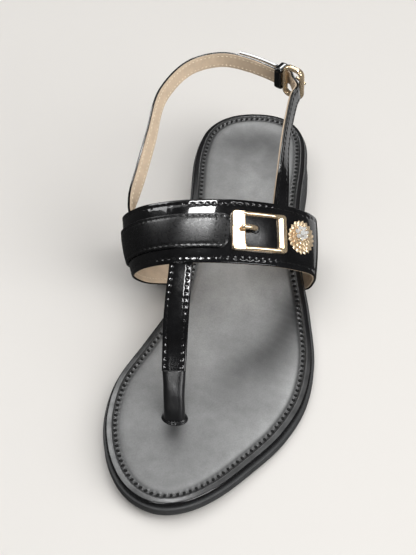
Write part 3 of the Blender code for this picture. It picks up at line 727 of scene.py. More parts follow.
def grid_mesh(columns, rows):
    """Flat grid with the column and row number of each of its vertices."""
    mesh = bmesh.new()
    bmesh.ops.create_grid(mesh, x_segments=columns, y_segments=rows, size=1.0)
    flat = np.array([v.co[:2] for v in mesh.verts])
    low = flat.min(axis=0)
    steps = np.rint((flat - low) / (flat.max(axis=0) - low) * (columns, rows)).astype(int)
    return mesh, steps[:, 0], steps[:, 1]


def move_to(mesh, points):
    for vertex, point in zip(mesh.verts, np.asarray(points) * MM):
        vertex.co = point


def rolled(columns, rows, place):
    """Grid moved by a function of column and row, joined where its edges meet and closed at its ends."""
    mesh, column, row = grid_mesh(columns, rows)
    move_to(mesh, place(column, row))
    bmesh.ops.remove_doubles(mesh, verts=mesh.verts, dist=MERGE_DISTANCE)
    bmesh.ops.dissolve_degenerate(mesh, edges=mesh.edges, dist=THIN_EDGE)
    rims = [edge for edge in mesh.edges if edge.is_boundary]
    if rims:
        bmesh.ops.holes_fill(mesh, edges=rims, sides=0)
    bmesh.ops.recalc_face_normals(mesh, faces=mesh.faces)
    return mesh


def add_piece(name, mesh, finish, stands_for=None, angle=SMOOTH_ANGLE):
    """Object from a finished mesh, riding on the shoe, with its finish."""
    data = bpy.data.meshes.new(name)
    mesh.to_mesh(data)
    mesh.free()
    data.shade_smooth()
    data.set_sharp_from_angle(angle=math.radians(angle))
    data.materials.append(Finishes.get(finish))
    piece = bpy.data.objects.new(name, data)
    bpy.context.scene.collection.objects.link(piece)
    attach(piece, BODY)
    SLOTS.get(finish, finish)
    if stands_for:
        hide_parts(stands_for)
    return piece


def spread(start, end, step):
    return np.linspace(start, end, max(2, int(round((end - start) / step)) + 1))


def strap_section(top_points):
    """Ring round a strap: share of the core's width, share of the edge's radius, and height.

    The height counts 1 for the lower edge, 1 for the wall and 1 for the upper edge.
    """
    turns = np.linspace(0.0, math.pi / 2, EDGE_POINTS)[1:]
    low = [(c, 0.0, 0.0) for c in np.linspace(-1.0, 1.0, LOW_POINTS)]
    right = [(1.0, math.sin(t), 1.0 - math.cos(t)) for t in turns]
    right += [(1.0, 1.0, h) for h in WALL_HEIGHTS]
    right += [(1.0, math.cos(t), 2.0 + math.sin(t)) for t in turns[:-1]]
    top = [(c, 0.0, 3.0) for c in np.linspace(1.0, -1.0, top_points)]
    left = [(-1.0, -e, h) for _, e, h in reversed(right)]
    return np.array(low + right + top + left + low[:1])


def seam_dip(run, side, seam_side, pitch, depth):
    """Depth of the sewn grooves, one on each side of the strap, deepest at the needle holes."""
    hole = 1.0 - HOLE_SHARE + HOLE_SHARE * np.cos(2.0 * math.pi * run / pitch)
    gaps = (side + seam_side, side - seam_side)
    return sum(depth * np.exp(-(gap / GROOVE_REACH) ** 2) * hole for gap in gaps)


def strap_shell(surface, runs, layer, seam=None, pitch=None, depth=None, half_of=None):
    """Closed strip of a strap between two lifts, with round edges and sewn grooves in its top."""
    section = strap_section(layer.points)
    half_of = half_of or surface.half
    edge = layer.edge
    wall = layer.high - layer.low - 2.0 * edge

    def place(column, row):
        run = runs[column]
        core, rim, height = section[row].T
        halves = half_of(run) - layer.inset
        side = core * (halves - edge) + rim * edge
        lift = layer.low + edge * np.clip(height, 0.0, 1.0) + wall * np.clip(height - 1.0, 0.0, 1.0)
        lift = lift + edge * np.clip(height - 2.0, 0.0, 1.0)
        lift = lift + layer.crown * (1.0 - np.clip(side / halves, -1.0, 1.0) ** 2)
        if seam is not None:
            lift = lift - smooth_step(2.0, 3.0, height) * seam_dip(run, side, halves - seam, pitch, depth)
        return surface.place(run, side, lift)

    return rolled(len(runs) - 1, len(section) - 1, place)


def add_stitches(mesh, heads, tails, ups, thick=None, flat=1.0):
    """Threads between two rows of points, each a plump grain lying on its surface."""
    thick = thick or bpy.context.scene.sandal_sizes.thread_thickness / MM
    around, along = THREAD_SIDES
    for head, tail, up in zip(heads, tails, unit(ups)):
        axis = (tail - head) / 2
        side = unit(np.cross(up, axis)) * thick
        over = unit(np.cross(axis, side)) * thick * flat
        turn = Matrix(np.column_stack([side, over, axis]) * MM).to_4x4()
        turn.translation = Vector((head + tail) / 2 * MM)
        bmesh.ops.create_uvsphere(mesh, u_segments=around, v_segments=along, radius=1.0, matrix=turn)


def sew_edges(mesh, surface, start, end, seam, lift, pitch, share):
    """Row of stitches along each edge of a strap, set in from the edge by the seam's distance."""
    first = math.ceil(start / pitch + 0.5)
    last = math.floor(end / pitch - 0.5)
    runs = (np.arange(first, last + 1) - 0.5) * pitch
    reach = pitch * share / 2

    def spot(run, sign, up=0.0):
        return surface.place(run, sign * (surface.half(run) - seam), lift + up)

    for sign in (-1.0, 1.0):
        ups = spot(runs, sign, 1.0) - spot(runs, sign)
        add_stitches(mesh, spot(runs - reach, sign), spot(runs + reach, sign), ups)


def sewn_strap(name, surface, span, sewn, cover, lining, seam, pitch, thread_lift, lining_sewn=True):
    """Patent cover and lining of a strap along a span of it, with the stitches along its edges."""
    sizes = bpy.context.scene.sandal_sizes
    mesh = strap_shell(surface, spread(*span, cover.step), cover, seam, pitch, sizes.seam_depth / MM)
    add_piece(name, mesh, "patent_leather", "upper")
    add_piece(name + "_lining", strap_shell(surface, spread(*span, lining.step), lining), "lining")
    rows = [("_stitches", "thread", thread_lift, pitch, sizes.stitch_share)]
    if lining_sewn:
        rows.append(("_lining_stitches", "lining_thread", lining.low, sizes.lining_pitch / MM, LINING_SHARE))
    for ending, finish, lift, gap, share in rows:
        threads = bmesh.new()
        sew_edges(threads, surface, *sewn, seam, lift, gap, share)
        add_piece(name + ending, threads, finish)


def rounded_rectangle(half_a, half_b, corner, per_corner=8, per_side=12):
    """Points round a rectangle with round corners, the same count whatever its size."""
    points = []
    for k, (sign_a, sign_b) in enumerate(((1, 1), (-1, 1), (-1, -1), (1, -1))):
        centre = np.array([sign_a * (half_a - corner), sign_b * (half_b - corner)])
        for i in range(per_corner + 1):
            turn = math.radians(90.0 * (k + i / per_corner))
            points.append(centre + corner * np.array([math.cos(turn), math.sin(turn)]))
        if k % 2 == 0:
            run = np.array([-2.0 * sign_a * (half_a - corner), 0.0])
        else:
            run = np.array([0.0, -2.0 * sign_b * (half_b - corner)])
        last = points[-1]
        points += [last + run * i / per_side for i in range(1, per_side)]
    return np.array(points)


def wire_loop(path, radius, sides=14, deep=1.0):
    """Round or deep wire along a closed path of points."""
    path = np.asarray(path, float)
    ahead = unit(np.roll(path, -1, axis=0) - np.roll(path, 1, axis=0))
    centre = path.mean(axis=0)
    spokes = path - centre
    normal = unit(sum(np.cross(spokes[k], spokes[(k + 1) % len(path)]) for k in range(len(path))))
    across = unit(np.cross(ahead, normal))

    def place(column, row):
        k = column % len(path)
        turn = 2.0 * math.pi * (row % sides) / sides
        return (path[k] + across[k] * (radius * np.cos(turn))[:, None]
                + normal * (deep * radius * np.sin(turn))[:, None])

    return rolled(len(path), sides, place)


def rod(path, radii, sides=14):
    """Round rod along an open path, with a radius at each point and closed ends."""
    path, radii = np.asarray(path, float), np.asarray(radii, float)
    tangents = unit(np.gradient(path, axis=0))
    lead = np.array([0.0, 0.0, 1.0])
    wide = unit(np.cross(tangents, lead))
    out = np.cross(wide, tangents)

    def place(column, row):
        turn = 2.0 * math.pi * (row % sides) / sides
        reach = radii[column]
        return (path[column] + wide[column] * (reach * np.cos(turn))[:, None]
                + out[column] * (reach * np.sin(turn))[:, None])

    return rolled(len(path) - 1, sides, place)


def round_ended(path, radius, steps=40):
    """Path resampled evenly, with radii that close in a half round at both ends."""
    lengths = chord_lengths(path)
    at = lengths[-1] * (1.0 - np.cos(np.linspace(0.0, math.pi, steps))) / 2.0
    points = smooth_curve(lengths, path, at)
    end = np.clip(np.minimum(at, lengths[-1] - at) / radius, 0.0, 1.0)
    radii = radius * np.sqrt(np.clip(1.0 - (1.0 - end) ** 2, TIP_SHARE, 1.0))
    return points, radii


# Finishes


class Finish:
    """Material being made: its shader, and helpers that add textures on the shoe's own coordinates."""

    def __init__(self, name, colour, roughness, **sockets):
        self.base = tuple(colour)
        self.material = bpy.data.materials.new(name)
        self.material.use_nodes = True
        self.nodes = self.material.node_tree.nodes
        self.links = self.material.node_tree.links
        self.shader = self.nodes["Principled BSDF"]
        self.shader.inputs["Base Color"].default_value = (*self.base, 1.0)
        self.shader.inputs["Roughness"].default_value = roughness
        for key, value in sockets.items():
            self.shader.inputs[key.replace("_", " ")].default_value = value
        self.coords = self.nodes.new("ShaderNodeTexCoord").outputs["Object"]
        self.normal = None

    def noise(self, scale, detail=3.0, roughness=0.55, stretch=None):
        node = self.nodes.new("ShaderNodeTexNoise")
        for key, number in (("Scale", scale), ("Detail", detail), ("Roughness", roughness)):
            node.inputs[key].default_value = number
        self.links.new(self.stretched(stretch) if stretch else self.coords, node.inputs["Vector"])
        return node.outputs["Fac"]

    def stretched(self, scale):
        node = self.nodes.new("ShaderNodeMapping")
        node.inputs["Scale"].default_value = scale
        self.links.new(self.coords, node.inputs["Vector"])
        return node.outputs["Vector"]

    def cells(self, scale):
        node = self.nodes.new("ShaderNodeTexVoronoi")
        node.inputs["Scale"].default_value = scale
        self.links.new(self.coords, node.inputs["Vector"])
        return node.outputs["Distance"]

    def attribute(self, name):
        node = self.nodes.new("ShaderNodeAttribute")
        node.attribute_name = name
        return node.outputs["Fac"]

    def range(self, value, low, high, start=0.3, end=0.7):
        node = self.nodes.new("ShaderNodeMapRange")
        for key, number in (("From Min", start), ("From Max", end), ("To Min", low), ("To Max", high)):
            node.inputs[key].default_value = number
        self.links.new(value, node.inputs["Value"])
        return node.outputs["Result"]

    def average(self, first, second, share):
        """Number between two outputs."""
        node = self.nodes.new("ShaderNodeMix")
        node.inputs[0].default_value = share
        self.links.new(first, node.inputs[2])
        self.links.new(second, node.inputs[3])
        return node.outputs[0]

    def mix(self, share, first, second, blend="MIX"):
        """Colour between two, each a plain colour or an output, by the share that an output gives."""
        node = self.nodes.new("ShaderNodeMix")
        node.data_type, node.blend_type = "RGBA", blend
        self.links.new(share, node.inputs[0])
        for socket, colour in ((node.inputs[6], first), (node.inputs[7], second)):
            if isinstance(colour, tuple):
                socket.default_value = (*colour, 1.0)
            else:
                self.links.new(colour, socket)
        return node.outputs[2]

    def patches(self, value, low, high, start=0.3, end=0.7):
        """Patches of a darker and a lighter shade of the base colour."""
        share = self.range(value, 0.0, 1.0, start, end)
        return self.mix(share, shade(self.base, low), shade(self.base, high))

    def colour(self, output):
        self.links.new(output, self.shader.inputs["Base Color"])

    def rough(self, output):
        self.links.new(output, self.shader.inputs["Roughness"])

    def bump(self, height, distance, strength):
        node = self.nodes.new("ShaderNodeBump")
        node.inputs["Strength"].default_value = strength
        node.inputs["Distance"].default_value = distance * MM
        self.links.new(height, node.inputs["Height"])
        if self.normal is not None:
            self.links.new(self.normal, node.inputs["Normal"])
        self.normal = node.outputs["Normal"]
        self.links.new(self.normal, self.shader.inputs["Normal"])


def shade(colour, factor):
    return tuple(min(1.0, c * factor) for c in colour)


def patent_finish(name, colours):
    """Black lacquer, a little uneven, under a clear coat."""
    finish = Finish(name, colours.patent, 0.2, Coat_Weight=1.0, Coat_Roughness=0.05, Specular_IOR_Level=0.1)
    finish.colour(finish.patches(finish.noise(90.0, 2.0), 0.7, 1.5))
    finish.rough(finish.range(finish.noise(400.0), 0.14, 0.26))
    finish.bump(finish.noise(70.0, 2.0), 0.35, 0.3)
    finish.bump(finish.noise(1300.0, 2.0), 0.02, 0.4)
    return finish.material


def matte_finish(name, colours, sheen=(0.24, 0.34)):
    """Black leather with a low sheen and fine pores."""
    finish = Finish(name, colours.matte, sheen[1], Specular_IOR_Level=0.45)
    finish.colour(finish.patches(finish.noise(260.0), 0.75, 1.4))
    finish.rough(finish.range(finish.noise(900.0), *sheen))
    finish.bump(finish.cells(1500.0), 0.01, 0.5)
    finish.bump(finish.noise(130.0, 2.0), 0.1, 0.35)
    return finish.material


def tab_finish(name, colours):
    """The matte leather, polished by the buckle."""
    return matte_finish(name, colours, (0.14, 0.2))


def footbed_finish(name, colours):
    """Grained, clouded pad that goes over to a black border by its tone, which also carries the painted shade
    and light.
    """
    finish = Finish(name, colours.footbed, 0.4, Specular_IOR_Level=0.45)
    cloud = finish.average(finish.noise(38.0, 4.0, 0.6), finish.noise(160.0, 3.0), 0.35)
    grain = finish.range(finish.noise(1500.0, 4.0, 0.7), 0.0, 1.0)
    pad = finish.mix(grain, finish.patches(cloud, 0.8, 1.16, 0.35, 0.65), (0.77, 0.77, 0.77), "MULTIPLY")
    finish.colour(finish.mix(finish.attribute("tone"), shade(colours.patent, 1.3), pad))
    finish.rough(finish.range(finish.attribute("pad"), 0.3, 0.62, 0.0, 1.0))
    finish.bump(finish.cells(1900.0), 0.05, 0.5)
    finish.bump(finish.noise(110.0, 4.0), 0.3, 0.35)
    return finish.material


def wall_finish(name, colours):
    """Glossy cover turned down over the footbed's edge."""
    finish = Finish(name, shade(colours.patent, 1.2), 0.22, Specular_IOR_Level=0.3, Coat_Weight=0.8,
                    Coat_Roughness=0.08)
    finish.colour(finish.patches(finish.noise(300.0), 0.7, 1.3))
    finish.rough(finish.range(finish.noise(800.0), 0.16, 0.3))
    finish.bump(finish.cells(1700.0), 0.03, 0.4)
    return finish.material


def sleeve_finish(name, colours):
    """Matte leather, streaked along the toe post."""
    finish = Finish(name, shade(colours.matte, 1.3), 0.36, Specular_IOR_Level=0.55)
    streak = finish.noise(300.0, 3.0, 0.6, (1.0, 0.12, 0.12))
    finish.colour(finish.patches(streak, 0.6, 1.5))
    finish.rough(finish.range(finish.noise(500.0), 0.3, 0.38))
    finish.bump(streak, 0.04, 0.4)
    finish.bump(finish.cells(1500.0), 0.005, 0.5)
    return finish.material


def rubber_finish(name, colours):
    """Satin moulded rubber."""
    finish = Finish(name, colours.rubber, 0.5, Specular_IOR_Level=0.35)
    finish.colour(finish.patches(finish.noise(120.0, 4.0), 0.9, 1.12))
    finish.rough(finish.range(finish.noise(350.0, 4.0), 0.4, 0.62))
    finish.bump(finish.noise(1800.0, 3.0), 0.03, 0.6)
    return finish.material


def lining_finish(name, colours):
    """Smooth beige leather with fine pores and soft creases."""
    finish = Finish(name, colours.lining, 0.55, Specular_IOR_Level=0.35)
    finish.colour(finish.patches(finish.noise(180.0, 4.0), 0.88, 1.08))
    finish.rough(finish.range(finish.noise(600.0), 0.48, 0.64))
    finish.bump(finish.cells(1600.0), 0.04, 0.6)
    finish.bump(finish.noise(240.0), 0.1, 0.4)
    return finish.material


def thread_finish(name, colours):
    """Fibrous thread in the colour setting of the same name."""
    finish = Finish(name, getattr(colours, name), 0.65, Specular_IOR_Level=0.12)
    finish.colour(finish.patches(finish.noise(2600.0), 0.7, 1.3))
    finish.bump(finish.noise(3400.0, 2.0), 0.06, 0.8)
    return finish.material


def gold_finish(name, colours):
    """Polished pale gold."""
    finish = Finish(name, colours.gold, 0.18, Metallic=0.78)
    finish.colour(finish.patches(finish.noise(240.0), 0.9, 1.08))
    finish.rough(finish.range(finish.noise(500.0, 4.0), 0.08, 0.17))
    finish.bump(finish.noise(900.0, 2.0), 0.015, 0.5)
    return finish.material


def petal_finish(name, colours):
    """Lighter and duller gold."""
    finish = Finish(name, shade(colours.gold, 1.1), 0.3, Metallic=0.75)
    finish.colour(finish.patches(finish.noise(500.0), 0.92, 1.06))
    finish.rough(finish.range(finish.noise(900.0, 4.0), 0.24, 0.38))
    finish.bump(finish.noise(1200.0, 2.0), 0.02, 0.5)
    return finish.material


def stone_finish(name, colours):
    """Clear stone on foil."""
    finish = Finish(name, colours.stone, 0.05, Metallic=0.35, Coat_Weight=1.0, Coat_Roughness=0.02)
    finish.colour(finish.patches(finish.noise(700.0), 0.7, 1.1))
    return finish.material


def floor_finish(name, colours):
    """Plain matt paper, hardly clouded."""
    finish = Finish(name, colours.floor, 0.7, Specular_IOR_Level=0.2)
    finish.colour(finish.patches(finish.noise(3.0, 2.0), 0.99, 1.01))
    return finish.material


class Finishes:
    """The finishes, made on first use."""

    made = {}
    makers = {
        "patent_leather": patent_finish,
        "matte_leather": matte_finish,
        "tab_leather": tab_finish,
        "footbed_leather": footbed_finish,
        "footbed_wall": wall_finish,
        "sleeve_leather": sleeve_finish,
        "sole_rubber": rubber_finish,
        "lining": lining_finish,
        "thread": thread_finish,
        "lining_thread": thread_finish,
        "gold_metal": gold_finish,
        "petal_metal": petal_finish,
        "clear_stone": stone_finish,
        "floor": floor_finish,
    }

    @classmethod
    def get(cls, name):
        if name not in cls.made:
            cls.made[name] = cls.makers[name](name, bpy.context.scene.sandal_colours)
        return cls.made[name]


# Slots of the finishes that are not slots themselves
SLOTS = {
    "tab_leather": "matte_leather",
    "sleeve_leather": "matte_leather",
    "lining_thread": "lining",
    "petal_metal": "gold_metal",
}


# Settings


class SandalSizes(bpy.types.PropertyGroup):
    stitch_pitch: FloatProperty(
        name="Stitch pitch", description="Distance from one stitch to the next",
        default=3.3 * MM, unit="LENGTH", precision=4)
    channel_pitch: FloatProperty(
        name="Channel pitch", description="Distance between stitches round the footbed",
        default=3.0 * MM, unit="LENGTH", precision=4)
    lining_pitch: FloatProperty(
        name="Lining pitch", description="Distance between the stitches seen on the lining",
        default=2.3 * MM, unit="LENGTH", precision=4)
    stitch_share: FloatProperty(
        name="Stitch share", description="Part of the pitch that the thread covers",
        default=0.8, subtype="FACTOR", min=0.2, max=1.0)
    thread_thickness: FloatProperty(
        name="Thread", description="Half the thickness of the thread",
        default=0.32 * MM, unit="LENGTH", precision=5)
    seam_depth: FloatProperty(
        name="Seam depth", description="How deep a sewn seam pulls into the leather",
        default=0.34 * MM, unit="LENGTH", precision=5)
    sole_stations: IntProperty(
        name="Sole stations", description="Steps along each side of the sole", default=560, min=40)
    outer_petals: IntProperty(
        name="Outer petals", description="Petals in the flower's outer ring", default=20, min=6)
    inner_petals: IntProperty(
        name="Inner petals", description="Petals in the flower's inner ring", default=16, min=5)


class SandalColours(bpy.types.PropertyGroup):
    patent: FloatVectorProperty(
        name="Patent", description="Glossy straps",
        default=(0.0045, 0.0045, 0.005), subtype="COLOR", size=3)
    matte: FloatVectorProperty(
        name="Matte", description="Overlay strap and toe post",
        default=(0.0045, 0.0045, 0.005), subtype="COLOR", size=3)
    footbed: FloatVectorProperty(
        name="Footbed", description="Cover of the footbed",
        default=(0.42, 0.425, 0.423), subtype="COLOR", size=3)
    rubber: FloatVectorProperty(
        name="Rubber", description="Outsole",
        default=(0.042, 0.043, 0.044), subtype="COLOR", size=3)
    lining: FloatVectorProperty(
        name="Lining", description="Inner side of the straps",
        default=(0.58, 0.455, 0.33), subtype="COLOR", size=3)
    thread: FloatVectorProperty(
        name="Thread", description="Stitches on the black leather",
        default=(0.008, 0.008, 0.008), subtype="COLOR", size=3)
    lining_thread: FloatVectorProperty(
        name="Lining thread", description="Stitches on the lining",
        default=(0.74, 0.635, 0.50), subtype="COLOR", size=3)
    gold: FloatVectorProperty(
        name="Gold", description="Buckles and flower",
        default=(0.82, 0.645, 0.435), subtype="COLOR", size=3)
    stone: FloatVectorProperty(
        name="Stones", description="Stones of the flower",
        default=(0.92, 0.91, 0.89), subtype="COLOR", size=3)
    floor: FloatVectorProperty(
        name="Floor", description="Plain floor",
        default=(0.768, 0.744, 0.711), subtype="COLOR", size=3)


class SandalStage(bpy.types.PropertyGroup):
    lens: FloatProperty(
        name="Lens", description="Focal length of the camera", default=77.0, unit="CAMERA")
    sky: FloatProperty(
        name="Sky", description="Strength of the even light", default=0.06, min=0.0)
    daylight: FloatProperty(
        name="Daylight", description="Power of the wide lights that cast the shadows",
        default=51.0, min=0.0, unit="POWER")
    key: FloatProperty(
        name="Key", description="Power of the softboxes seen in the gloss",
        default=6.0, min=0.0, unit="POWER")
    fill: FloatProperty(
        name="Fill", description="Power of the panel behind and of the cards round the shoe",
        default=10.0, min=0.0, unit="POWER")


# Pieces


class SANDAL_OT_outsole(bpy.types.Operator):
    """Unit sole with its wall, heel, raised shank and shallow tread"""

    bl_idname = "sandal.outsole"
    bl_label = "Outsole"

    def execute(self, context):
        outline = Outline(context.scene.sandal_sizes.sole_stations)
        rings = [np.column_stack([outline.spine, self.seat(outline.spine)])]
        for out, share, drop in self.levels(tread_ledge(outline.along)):
            flat = outline.ring(out)
            top = self.seat(flat)
            bottom = sole_bottom(along_of(flat[:, 1]))
            rings.append(np.column_stack([flat, top + (bottom - top) * share - drop]))
        border = outline.ring(-TREAD_BORDER)
        for share in np.linspace(TREAD_START, 1.0, TREAD_RINGS):
            flat = border + (outline.spine - border) * share
            rings.append(np.column_stack([flat, self.tread(flat[:, 1], share)]))
        table = np.array(rings)
        count = outline.count()

        def place(column, row):
            return table[row, column % count]

        add_piece("outsole_unit", rolled(count, len(rings) - 1, place), "sole_rubber", "outsole")
        return {"FINISHED"}

    @staticmethod
    def seat(flat):
        """Height of the seat that the footbed lies on."""
        return footbed_top(along_of(flat[:, 1])) - FOOTBED_THICK - SEAT_GAP

    @staticmethod
    def levels(ledge):
        """Rings of the wall: way out past the footbed's edge, share of the way down, drop below that."""
        levels = [(out, 0.0, drop) for out, drop in WALL_EDGE]
        edge_drop = WALL_EDGE[-1][1]
        for share in WALL_SHARES:
            belly = WALL_BELLY * math.sin(math.pi * share)
            out = OUTSOLE_LEDGE + (ledge - OUTSOLE_LEDGE) * share - belly
            levels.append((out, share, edge_drop * (1.0 - share) - TREAD_RISE * share))
        levels += [(ledge - inset, 1.0, -rise) for inset, rise in TREAD_ROUND]
        return levels + [(-inset, 1.0, 0.0) for inset in (TREAD_FLAT, TREAD_BORDER)]

    @staticmethod
    def tread(y, share):
        """Bottom with shallow cross grooves under the heel and the forefoot."""
        along = along_of(y)
        heel = 1.0 - smooth_step(*TREAD_HEEL_END, along)
        fore = smooth_step(*TREAD_FORE_START, along) * (1.0 - smooth_step(*TREAD_FORE_END, along))
        wave = np.abs((along / TREAD_PITCH) % 1.0 - 0.5) * 2.0
        groove = 1.0 - smooth_step(*TREAD_GROOVE, wave)
        return sole_bottom(along) + TREAD_DEPTH * groove * (heel + fore) * smooth_step(*TREAD_FADE, share)


def soft_stretch(table, rows):
    """Strength of a soft mark along a path of places, each with its reach and its own strength."""
    rows = np.array(rows)
    knots = chord_lengths(rows[:, :2])
    strength = np.zeros(table.shape[:2])
    for x, y, reach, depth in smooth_curve(knots, rows, np.linspace(0.0, knots[-1], SHADE_STEPS)):
        gap = ((table[..., 0] - x) ** 2 + (table[..., 1] - y) ** 2) / reach ** 2
        strength = np.maximum(strength, depth * np.exp(-gap))
    return strength


class SANDAL_OT_footbed(bpy.types.Operator):
    """Cushioned footbed with a rolled rim and a stitched channel"""

    bl_idname = "sandal.footbed"
    bl_label = "Footbed"

    def execute(self, context):
        sizes = context.scene.sandal_sizes
        outline = Outline(sizes.sole_stations)
        count = outline.count()
        channel = outline.ring(-CHANNEL_INSET)
        walked = chord_lengths(np.vstack([channel, channel[:1]]))
        stitches = int(round(walked[-1] / (sizes.channel_pitch / MM)))
        table, insets = self.rings(outline, np.cos(2.0 * math.pi * walked[:-1] / walked[-1] * stitches))

        mesh, column, row = grid_mesh(count, len(table) - 1)
        marks = {
            "pad": smooth_step(*PAD_START, insets)[row],
            "tone": self.tones(table, insets)[row, column % count],
        }
        for key, values in marks.items():
            layer = mesh.verts.layers.float.new(key)
            for vertex, value in zip(mesh.verts, values):
                vertex[layer] = value
        row_of = dict(zip(mesh.verts, row))
        for face in mesh.faces:
            inset = insets[max(row_of[vertex] for vertex in face.verts)]
            face.material_index = int(inset < WALL_INSET)
        move_to(mesh, table[row, column % count])
        bmesh.ops.remove_doubles(mesh, verts=mesh.verts, dist=MERGE_DISTANCE)
        bmesh.ops.recalc_face_normals(mesh, faces=mesh.faces)
        piece = add_piece("footbed", mesh, "footbed_leather", "insole")
        piece.data.materials.append(Finishes.get("footbed_wall"))
        add_piece("footbed_stitches", self.threads(outline, walked, stitches), "thread")
        return {"FINISHED"}

    def rings(self, outline, phase):
        """Rings from the middle of the pad out over the rim and under, with their insets from the edge."""
        border = outline.ring(-PAD_INSET)
        rings, insets = [], []
        for share in np.linspace(1.0, PAD_END, PAD_RINGS):
            flat = border + (outline.spine - border) * share
            rings.append(np.column_stack([flat, self.cushion(flat, outline)]))
            insets.append(PAD_INSET)
        for inset, rise in FOOTBED_BORDER[:-1]:
            flat = outline.ring(-inset)
            near = math.exp(-((inset - CHANNEL_INSET) / CHANNEL_REACH) ** 2)
            height = footbed_top(along_of(flat[:, 1]))
            rings.append(np.column_stack([flat, height + rise - CHANNEL_HOLLOW * near * (1.0 + phase)]))
            insets.append(inset)
        for flat in (outline.ring(-FOOTBED_BORDER[-1][0]), outline.spine):
            rings.append(np.column_stack([flat, footbed_top(along_of(flat[:, 1])) - FOOTBED_THICK]))
            insets.append(0.0)
        return np.array(rings), np.array(insets)

    @staticmethod
    def cushion(flat, outline):
        """Height of the cushioned top, sunk a little under the heel."""
        along = along_of(flat[:, 1])
        gaps = flat[:, None, :] - outline.points[None, ::EDGE_SKIP, :]
        inset = np.sqrt((gaps ** 2).sum(axis=2).min(axis=1))
        cup = smooth_step(PAD_INSET, HEEL_CUP_INSET, inset) * (1.0 - smooth_step(*HEEL_CUP_END, along))
        return footbed_top(along) + PAD_RISE - HEEL_CUP * cup

    @staticmethod
    def tones(table, insets):
        """Share of the pad's colour: little in the channel, less where shade is painted, more where light and
        sheen are painted.
        """
        channel = CHANNEL_TONE * smooth_step(*CHANNEL_START, insets)
        # painted light: lighter stretches stand in for sheen and for light where the band and T-strap cast
        # shade
        pad = PAD_TONE + sum(soft_stretch(table, rows) for rows in PAD_PAINTED_LIGHT)
        tones = np.maximum(channel[:, None], pad * smooth_step(*PAD_START, insets)[:, None])
        # painted shade: darker stretches stand in for the shadows and reflections of the collar, band and
        # straps
        for rows in PAD_PAINTED_SHADE:
            tones = tones * (1.0 - soft_stretch(table, rows))
        # painted sheen: the rim is lighter where it catches the light
        on_rim = (insets < RIM_INSET) & (insets > WALL_INSET)
        return np.maximum(tones, soft_stretch(table, RIM_PAINTED_SHEEN) * on_rim[:, None]) / FULL_TONE

    @staticmethod
    def threads(outline, walked, stitches):
        """Slanted stitches across the channel."""
        mesh = bmesh.new()
        at = (np.arange(stitches) + 0.5) / stitches * walked[-1]

        def on_ring(inset, run):
            ring = outline.ring(-inset)
            loop = np.vstack([ring, ring[:1]])
            flat = np.column_stack([np.interp(run % walked[-1], walked, loop[:, c]) for c in range(2)])
            return np.column_stack([flat, footbed_top(along_of(flat[:, 1])) - CHANNEL_SEAT])

        heads = on_ring(CHANNEL_INSET - CHANNEL_STITCH, at - CHANNEL_SLANT)
        tails = on_ring(CHANNEL_INSET + CHANNEL_STITCH, at + CHANNEL_SLANT)
        ups = np.tile([0.0, 0.0, 1.0], (stitches, 1))
        add_stitches(mesh, heads, tails, ups, CHANNEL_THREAD, CHANNEL_FLAT)
        return mesh


class SANDAL_OT_band(bpy.types.Operator):
    """Instep band: patent outside, lining inside and a sewn row near each edge"""

    bl_idname = "sandal.band"
    bl_label = "Instep Band"

    def execute(self, context):
        sizes = context.scene.sandal_sizes
        band = SHAPES.band
        lift = BAND_COVER.high - sizes.seam_depth / MM * THREAD_SUNK
        sewn = (band.start + BAND_TUCK, band.end - BAND_TUCK)
        sewn_strap("instep_band", band, (band.start, band.end), sewn, BAND_COVER, BAND_LINING, BAND_SEAM,
                   sizes.stitch_pitch / MM, lift)
        return {"FINISHED"}


class SANDAL_OT_t_strap(bpy.types.Operator):
    """T-strap from the band down to the toe post"""

    bl_idname = "sandal.t_strap"
    bl_label = "T-Strap"

    def execute(self, context):
        sizes = context.scene.sandal_sizes
        strap = SHAPES.tongue
        lift = T_THICK / 2 - sizes.seam_depth / MM * T_SUNK
        sewn_strap("t_strap", strap, (strap.start, strap.end), (T_ROOT, strap.end - STITCH_END),
                   T_COVER, T_LINING, T_SEAM, sizes.stitch_pitch / MM, lift, lining_sewn=False)
        return {"FINISHED"}


class SANDAL_OT_ankle_straps(bpy.types.Operator):
    """Ankle strap and lateral strap with their linings and sewn edges"""

    bl_idname = "sandal.ankle_straps"
    bl_label = "Ankle Straps"

    def execute(self, context):
        sizes = context.scene.sandal_sizes
        pitch = sizes.stitch_pitch / MM * STRAP_PITCH
        lift = STRAP_COVER.high - sizes.seam_depth / MM * THREAD_SUNK
        ankle, lateral = SHAPES.ankle, SHAPES.lateral
        straps = (
            # name, surface, run from, run to, cover, lining
            ("ankle_strap", ankle, ankle.start, ankle.end, STRAP_COVER, ANKLE_LINING),
            ("lateral_strap", lateral, TAIL_LENGTH, lateral.end, STRAP_COVER, LATERAL_LINING),
            ("lateral_strap_tail", lateral, lateral.start, TAIL_LENGTH + TAIL_LAP, TAIL_COVER, TAIL_LINING),
        )
        for name, strap, start, end, cover, lining in straps:
            sewn_strap(name, strap, (start, end), (start + STITCH_END, end - STITCH_END),
                       cover, lining, STRAP_SEAM, pitch, lift)
        return {"FINISHED"}


class BandStrip:
    """Strip of the band beside the band's own middle."""

    def __init__(self, band, along):
        self.band = band
        self.middle = sum(along) / 2
        self.width = along[1] - along[0]

    def half(self, run):
        return np.full(np.shape(run), self.width / 2)

    def place(self, run, side, lift):
        return self.band.place(run, np.asarray(side) + self.middle, lift)


